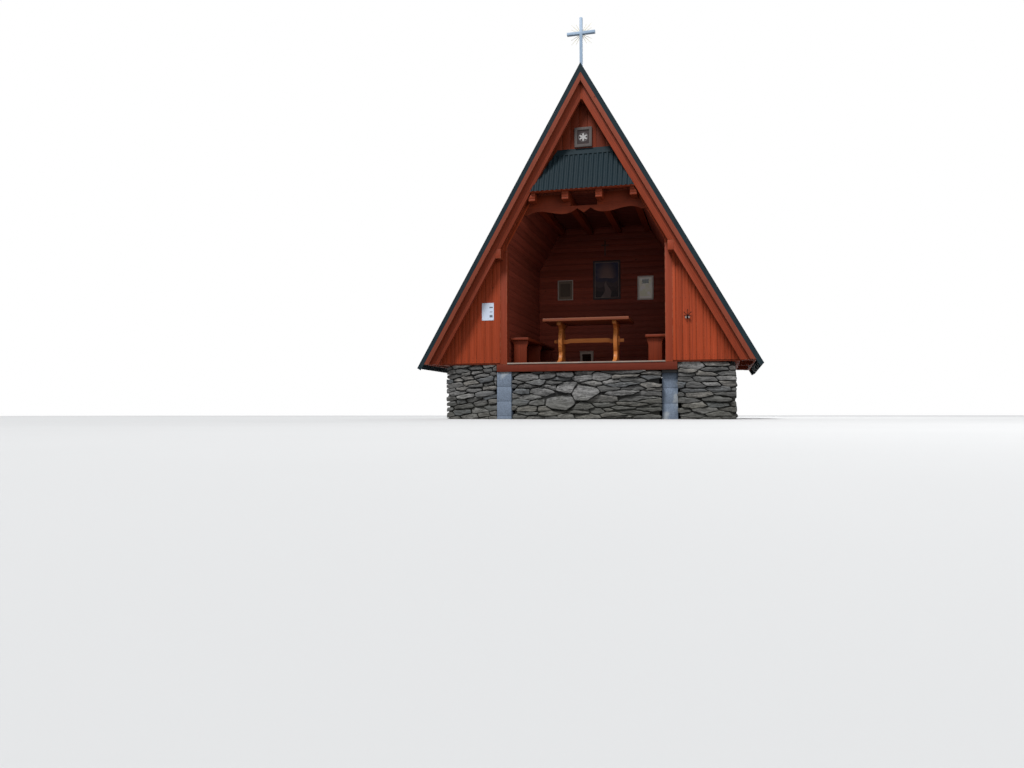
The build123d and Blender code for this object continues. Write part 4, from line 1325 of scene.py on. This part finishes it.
def framed(name, node, frame_finish, panel_finish, mount=0.0, mount_finish="Card"):
    """A frame with its panel set in, and a card mount where one shows."""
    part = solids(node)[0]
    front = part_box(node)[0].y
    panel = [f for f in part.faces if f.normal.y < -0.9 and f.calc_center_median().y > front + 0.001]
    deepest = max(panel, key=lambda f: f.calc_area())
    if mount:
        rim = bmesh.ops.inset_individual(part, faces=[deepest], thickness=mount, use_even_offset=True)
        for face in rim["faces"]:
            face.material_index = 2
    deepest.material_index = 1

    def is_rim(edge):
        return edge.calc_face_angle(0.0) > 1.0 and all(v.co.y < front + 0.0005 for v in edge.verts)

    soften(part, 0.003, 2, is_rim)
    mark(part, Z, X, Random(name), 0.5)
    return piece(name, [part], [frame_finish, panel_finish, mount_finish], "picture", node)


class CHAPEL_OT_pictures(Operator):
    """Hangs the pictures, the notices, the small cross and the sheet in its sleeve"""
    bl_idname = "chapel.pictures"
    bl_label = "Pictures and notices"

    def execute(self, context):
        framed("altar_painting", "altar_picture", "Picture frame", "Landscape", 0.007, "Grey wood")
        framed("gable_rosette", "gable_picture", "Rosette frame", "Rosette")
        framed("aged_notice", "notice_left", "Pale frame", "Aged notice")
        framed("green_notice", "notice_right", "White frame", "Green notice", 0.012)
        timber("small_cross", "Dark wood", "dark_wood", "wall_cross", arris=0.002, along=Z)
        low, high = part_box("notice_sheet")
        sheet = solids("notice_sheet")[0]
        edges = [e for e in sheet.edges if e.calc_length() > 0.1]
        bmesh.ops.subdivide_edges(sheet, edges=edges, cuts=7, use_grid_fill=True)
        for vert in sheet.verts:
            if vert.co.y < low.y + 0.001:
                vert.co.y -= 0.0015 + 0.0015 * noise.noise(vert.co * 14)
        piece("sleeve", [sheet], "Sleeved paper", "paper", "notice_sheet")
        marks = []
        for height, wide, tall in ((0.072, 0.058, 0.020), (-0.004, 0.044, 0.009), (-0.078, 0.050, 0.040)):
            centre = Vector((high.x - 0.048, low.y - 0.0035, (low.z + high.z) / 2 + height))
            printed = block((wide, 0.001, tall), centre)
            soften(printed, 0.0003, 1)
            marks.append(printed)
        inset = 0.012
        for x in (low.x + inset, high.x - inset):
            for z in (low.z + inset, high.z - inset):
                marks.append(stud(0.004, 0.003, 12, Vector((x, low.y - 0.002, z)), -Y, 0.005))
        piece("sheet_labels", marks, "Grey ink", "paper")
        return {"FINISHED"}


class CHAPEL_OT_vent(Operator):
    """Makes the vent's frame and its slats"""
    bl_idname = "chapel.vent"
    bl_label = "Vent"

    def execute(self, context):
        timber("vent_surround", "Vent wood", "grey_wood", "vent_frame", arris=0.003)
        low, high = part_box("vent_frame")
        rng = Random("slats")
        count = context.scene.chapel_sizes.vent_slats
        clear_low, clear_high = low.z + 0.044, high.z - 0.058
        slats = []
        for i in range(count):
            z = clear_low + (clear_high - clear_low) * (i + 0.5) / count
            centre = Vector(((low.x + high.x) / 2, niche_y + 0.002, z))
            slat = block((0.172, 0.004, 0.034), centre, Matrix.Rotation(radians(38), 3, "X"))
            soften(slat, 0.001, 1)
            mark(slat, X, Z, rng)
            slats.append(slat)
        # The slats take the dark wood: painted shade inside the vent.
        piece("vent_slats", slats, "Dark wood", "grey_wood")
        return {"FINISHED"}


# Places along a rod of the bracket with the radius at each, the bow's line, and a cup's outline
ROD = ((0.0, 0.0052), (0.3, 0.0042), (0.7, 0.0036), (0.78, 0.0056), (0.86, 0.0074), (0.94, 0.0060), (1.0, 0.0020))
ROD_TIPS = ((-0.060, 0.060), (0.0, 0.098), (0.062, 0.058))
BOW = (
    (-0.058, 0.008), (-0.054, -0.001), (-0.044, -0.008), (-0.025, -0.013), (0.0, -0.015), (0.025, -0.013),
    (0.044, -0.008), (0.054, -0.001), (0.058, 0.008))
CUP = (
    (0, -0.0155), (0.0100, -0.0155), (0.0128, -0.0130), (0.0134, 0.0), (0.0146, 0.0165), (0.0134, 0.0168),
    (0.0126, 0.0136), (0, 0.0133))


def cup(centre):
    """A small cup, turned from its outline."""
    bm = bmesh.new()
    verts = [bm.verts.new((x, 0, z)) for x, z in CUP]
    for pair in zip(verts, verts[1:]):
        bm.edges.new(pair)
    bmesh.ops.spin(
        bm, geom=bm.verts[:] + bm.edges[:], cent=(0, 0, 0), axis=(0, 0, 1), angle=2 * pi, steps=24, use_merge=True)
    bmesh.ops.remove_doubles(bm, verts=bm.verts, dist=MERGE)
    bmesh.ops.recalc_face_normals(bm, faces=bm.faces)
    bmesh.ops.translate(bm, vec=centre, verts=bm.verts)
    return bm


class CHAPEL_OT_bracket(Operator):
    """Makes the wrought-iron bracket with its two white cups"""
    bl_idname = "chapel.bracket"
    bl_label = "Bracket"

    def execute(self, context):
        low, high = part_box("wall_bracket")
        middle = (low.x + high.x) / 2
        hub = Vector((middle, low.y + 0.014, low.z + 0.055))
        plate = block(Vector((0.034, 0.005, 0.062)), Vector((middle, high.y - 0.0025, low.z + 0.039)))
        soften(plate, 0.002)
        parts = [plate, stud(0.007, high.y - hub.y + 0.004, 12, Vector((middle, high.y, hub.z)), -Y, 0.009)]
        for x, z in ROD_TIPS:
            parts.append(forged([hub + Vector((x, 0, z)) * share for share, _ in ROD], [radius for _, radius in ROD]))
        parts.append(forged([hub + Vector((x, 0, z)) for x, z in BOW], [0.0035] + [0.0046] * 7 + [0.0035]))
        parts.append(forged([hub, hub - Z * 0.015], [0.005, 0.005]))
        piece("bracket_iron", parts, "Iron", "iron", "wall_bracket", smooth=40)
        cups = [cup(hub + Vector((x, 0, -0.032))) for x in (-0.025, 0.025)]
        piece("cups", cups, "White ware", "iron", smooth=45)
        return {"FINISHED"}


def linked(name, data):
    made = bpy.data.objects.new(name, data)
    bpy.context.scene.collection.objects.link(made)
    return made


def seen_directly(tree, *names):
    """1 where the light path is one of those named."""
    rays = add("LightPath", tree=tree)
    direct = rays[names[0]]
    for name in names[1:]:
        direct = direct.maths("MAXIMUM", rays[name])
    return direct


class CHAPEL_OT_studio(Operator):
    """Sets up the floor, the lights and the camera"""
    bl_idname = "chapel.studio"
    bl_label = "Studio"

    def execute(self, context):
        view = context.scene.chapel_view
        bm = bmesh.new()
        bmesh.ops.create_grid(bm, x_segments=1, y_segments=1, size=60.0)
        mesh = bpy.data.meshes.new("studio_floor")
        bm.to_mesh(mesh)
        bm.free()
        made = Finish("Studio floor")
        direct = seen_directly(made.tree, "Is Camera Ray", "Is Glossy Ray")
        grey = mix(clouds(made.place, 0.8, 2.0), rgb((0.64,) * 3), rgb((0.67,) * 3))
        made.colour = mix(direct, rgb((0.2,) * 3), grey)
        mesh.materials.append(made.done(0.9))
        linked("studio_floor", mesh)

        world = bpy.data.worlds.new("Studio")
        context.scene.world = world
        world.use_nodes = True
        direct = seen_directly(world.node_tree, "Is Camera Ray", "Is Glossy Ray", "Is Transmission Ray")
        fill(world.node_tree.nodes["Background"].inputs, {
            0: mix(direct, rgb((0.90, 0.95, 1.0)), rgb((1, 1, 1))), 1: direct * (1.0 - view.sky) + view.sky})

        for name, kind, at, spread, power in (
                ("key", "SUN", (-4.5, -10.0, 15.5), radians(18), view.key),
                ("fill", "AREA", (8.0, -12.0, 6.0), 7.0, view.key * 120),
                ("back", "AREA", (5.0, 12.0, 9.0), 8.0, view.key * 170)):
            lamp = bpy.data.lights.new(name, kind)
            if kind == "SUN":
                lamp.angle = spread
            else:
                lamp.shape = "DISK"
                lamp.size = spread
            lamp.energy = power
            light = linked(name, lamp)
            light.location = at
            light.rotation_euler = (Vector((0, 0, 2.4)) - Vector(at)).to_track_quat("-Z", "Y").to_euler()

        ahead = Vector((-sin(view.yaw) * cos(view.rise), cos(view.yaw) * cos(view.rise), sin(view.rise)))
        level = Vector((cos(view.yaw), sin(view.yaw), 0))
        upward = level.cross(ahead)
        right = level * cos(view.roll) + upward * sin(view.roll)
        over = -level * sin(view.roll) + upward * cos(view.roll)
        camera = bpy.data.cameras.new("camera")
        camera.sensor_width = 36.0
        camera.lens = view.focal
        camera.clip_end = 200.0
        matrix = Matrix((right, over, -ahead)).transposed().to_4x4()
        matrix.translation = view.place
        holder = linked("camera", camera)
        holder.matrix_world = matrix
        context.scene.camera = holder
        context.scene.view_settings.view_transform = "Standard"
        return {"FINISHED"}


PIECE_OPERATORS = (
    CHAPEL_OT_plinth, CHAPEL_OT_piers, CHAPEL_OT_floor, CHAPEL_OT_frame, CHAPEL_OT_roof, CHAPEL_OT_walls,
    CHAPEL_OT_niche, CHAPEL_OT_pent, CHAPEL_OT_cross, CHAPEL_OT_table, CHAPEL_OT_benches, CHAPEL_OT_pictures,
    CHAPEL_OT_vent, CHAPEL_OT_bracket, CHAPEL_OT_studio,
)


class CHAPEL_PT_sidebar(Panel):
    """The chapel's pieces, sizes and colours"""
    bl_idname = "CHAPEL_PT_sidebar"
    bl_label = "Chapel"
    bl_space_type = "VIEW_3D"
    bl_region_type = "UI"
    bl_category = "Chapel"

    def draw(self, context):
        for operator in PIECE_OPERATORS:
            self.layout.operator(operator.bl_idname)
        for group_of in (context.scene.chapel_sizes, context.scene.chapel_colours, context.scene.chapel_view):
            box = self.layout.box()
            for name in group_of.__annotations__:
                box.prop(group_of, name)


CLASSES = (ChapelSizes, ChapelColours, ChapelView, *PIECE_OPERATORS, CHAPEL_PT_sidebar)


def register():
    for made in CLASSES:
        bpy.utils.register_class(made)
    bpy.types.Scene.chapel_sizes = PointerProperty(type=ChapelSizes)
    bpy.types.Scene.chapel_colours = PointerProperty(type=ChapelColours)
    bpy.types.Scene.chapel_view = PointerProperty(type=ChapelView)


def unregister():
    del bpy.types.Scene.chapel_view
    del bpy.types.Scene.chapel_colours
    del bpy.types.Scene.chapel_sizes
    for made in reversed(CLASSES):
        bpy.utils.unregister_class(made)


def main():
    register()
    bpy.ops.chapel.plinth()
    bpy.ops.chapel.piers()
    bpy.ops.chapel.floor()
    bpy.ops.chapel.frame()
    bpy.ops.chapel.roof()
    bpy.ops.chapel.walls()
    bpy.ops.chapel.niche()
    bpy.ops.chapel.pent()
    bpy.ops.chapel.cross()
    bpy.ops.chapel.table()
    bpy.ops.chapel.benches()
    bpy.ops.chapel.pictures()
    bpy.ops.chapel.vent()
    bpy.ops.chapel.bracket()
    bpy.ops.chapel.studio()


if __name__ == "__main__":
    main()
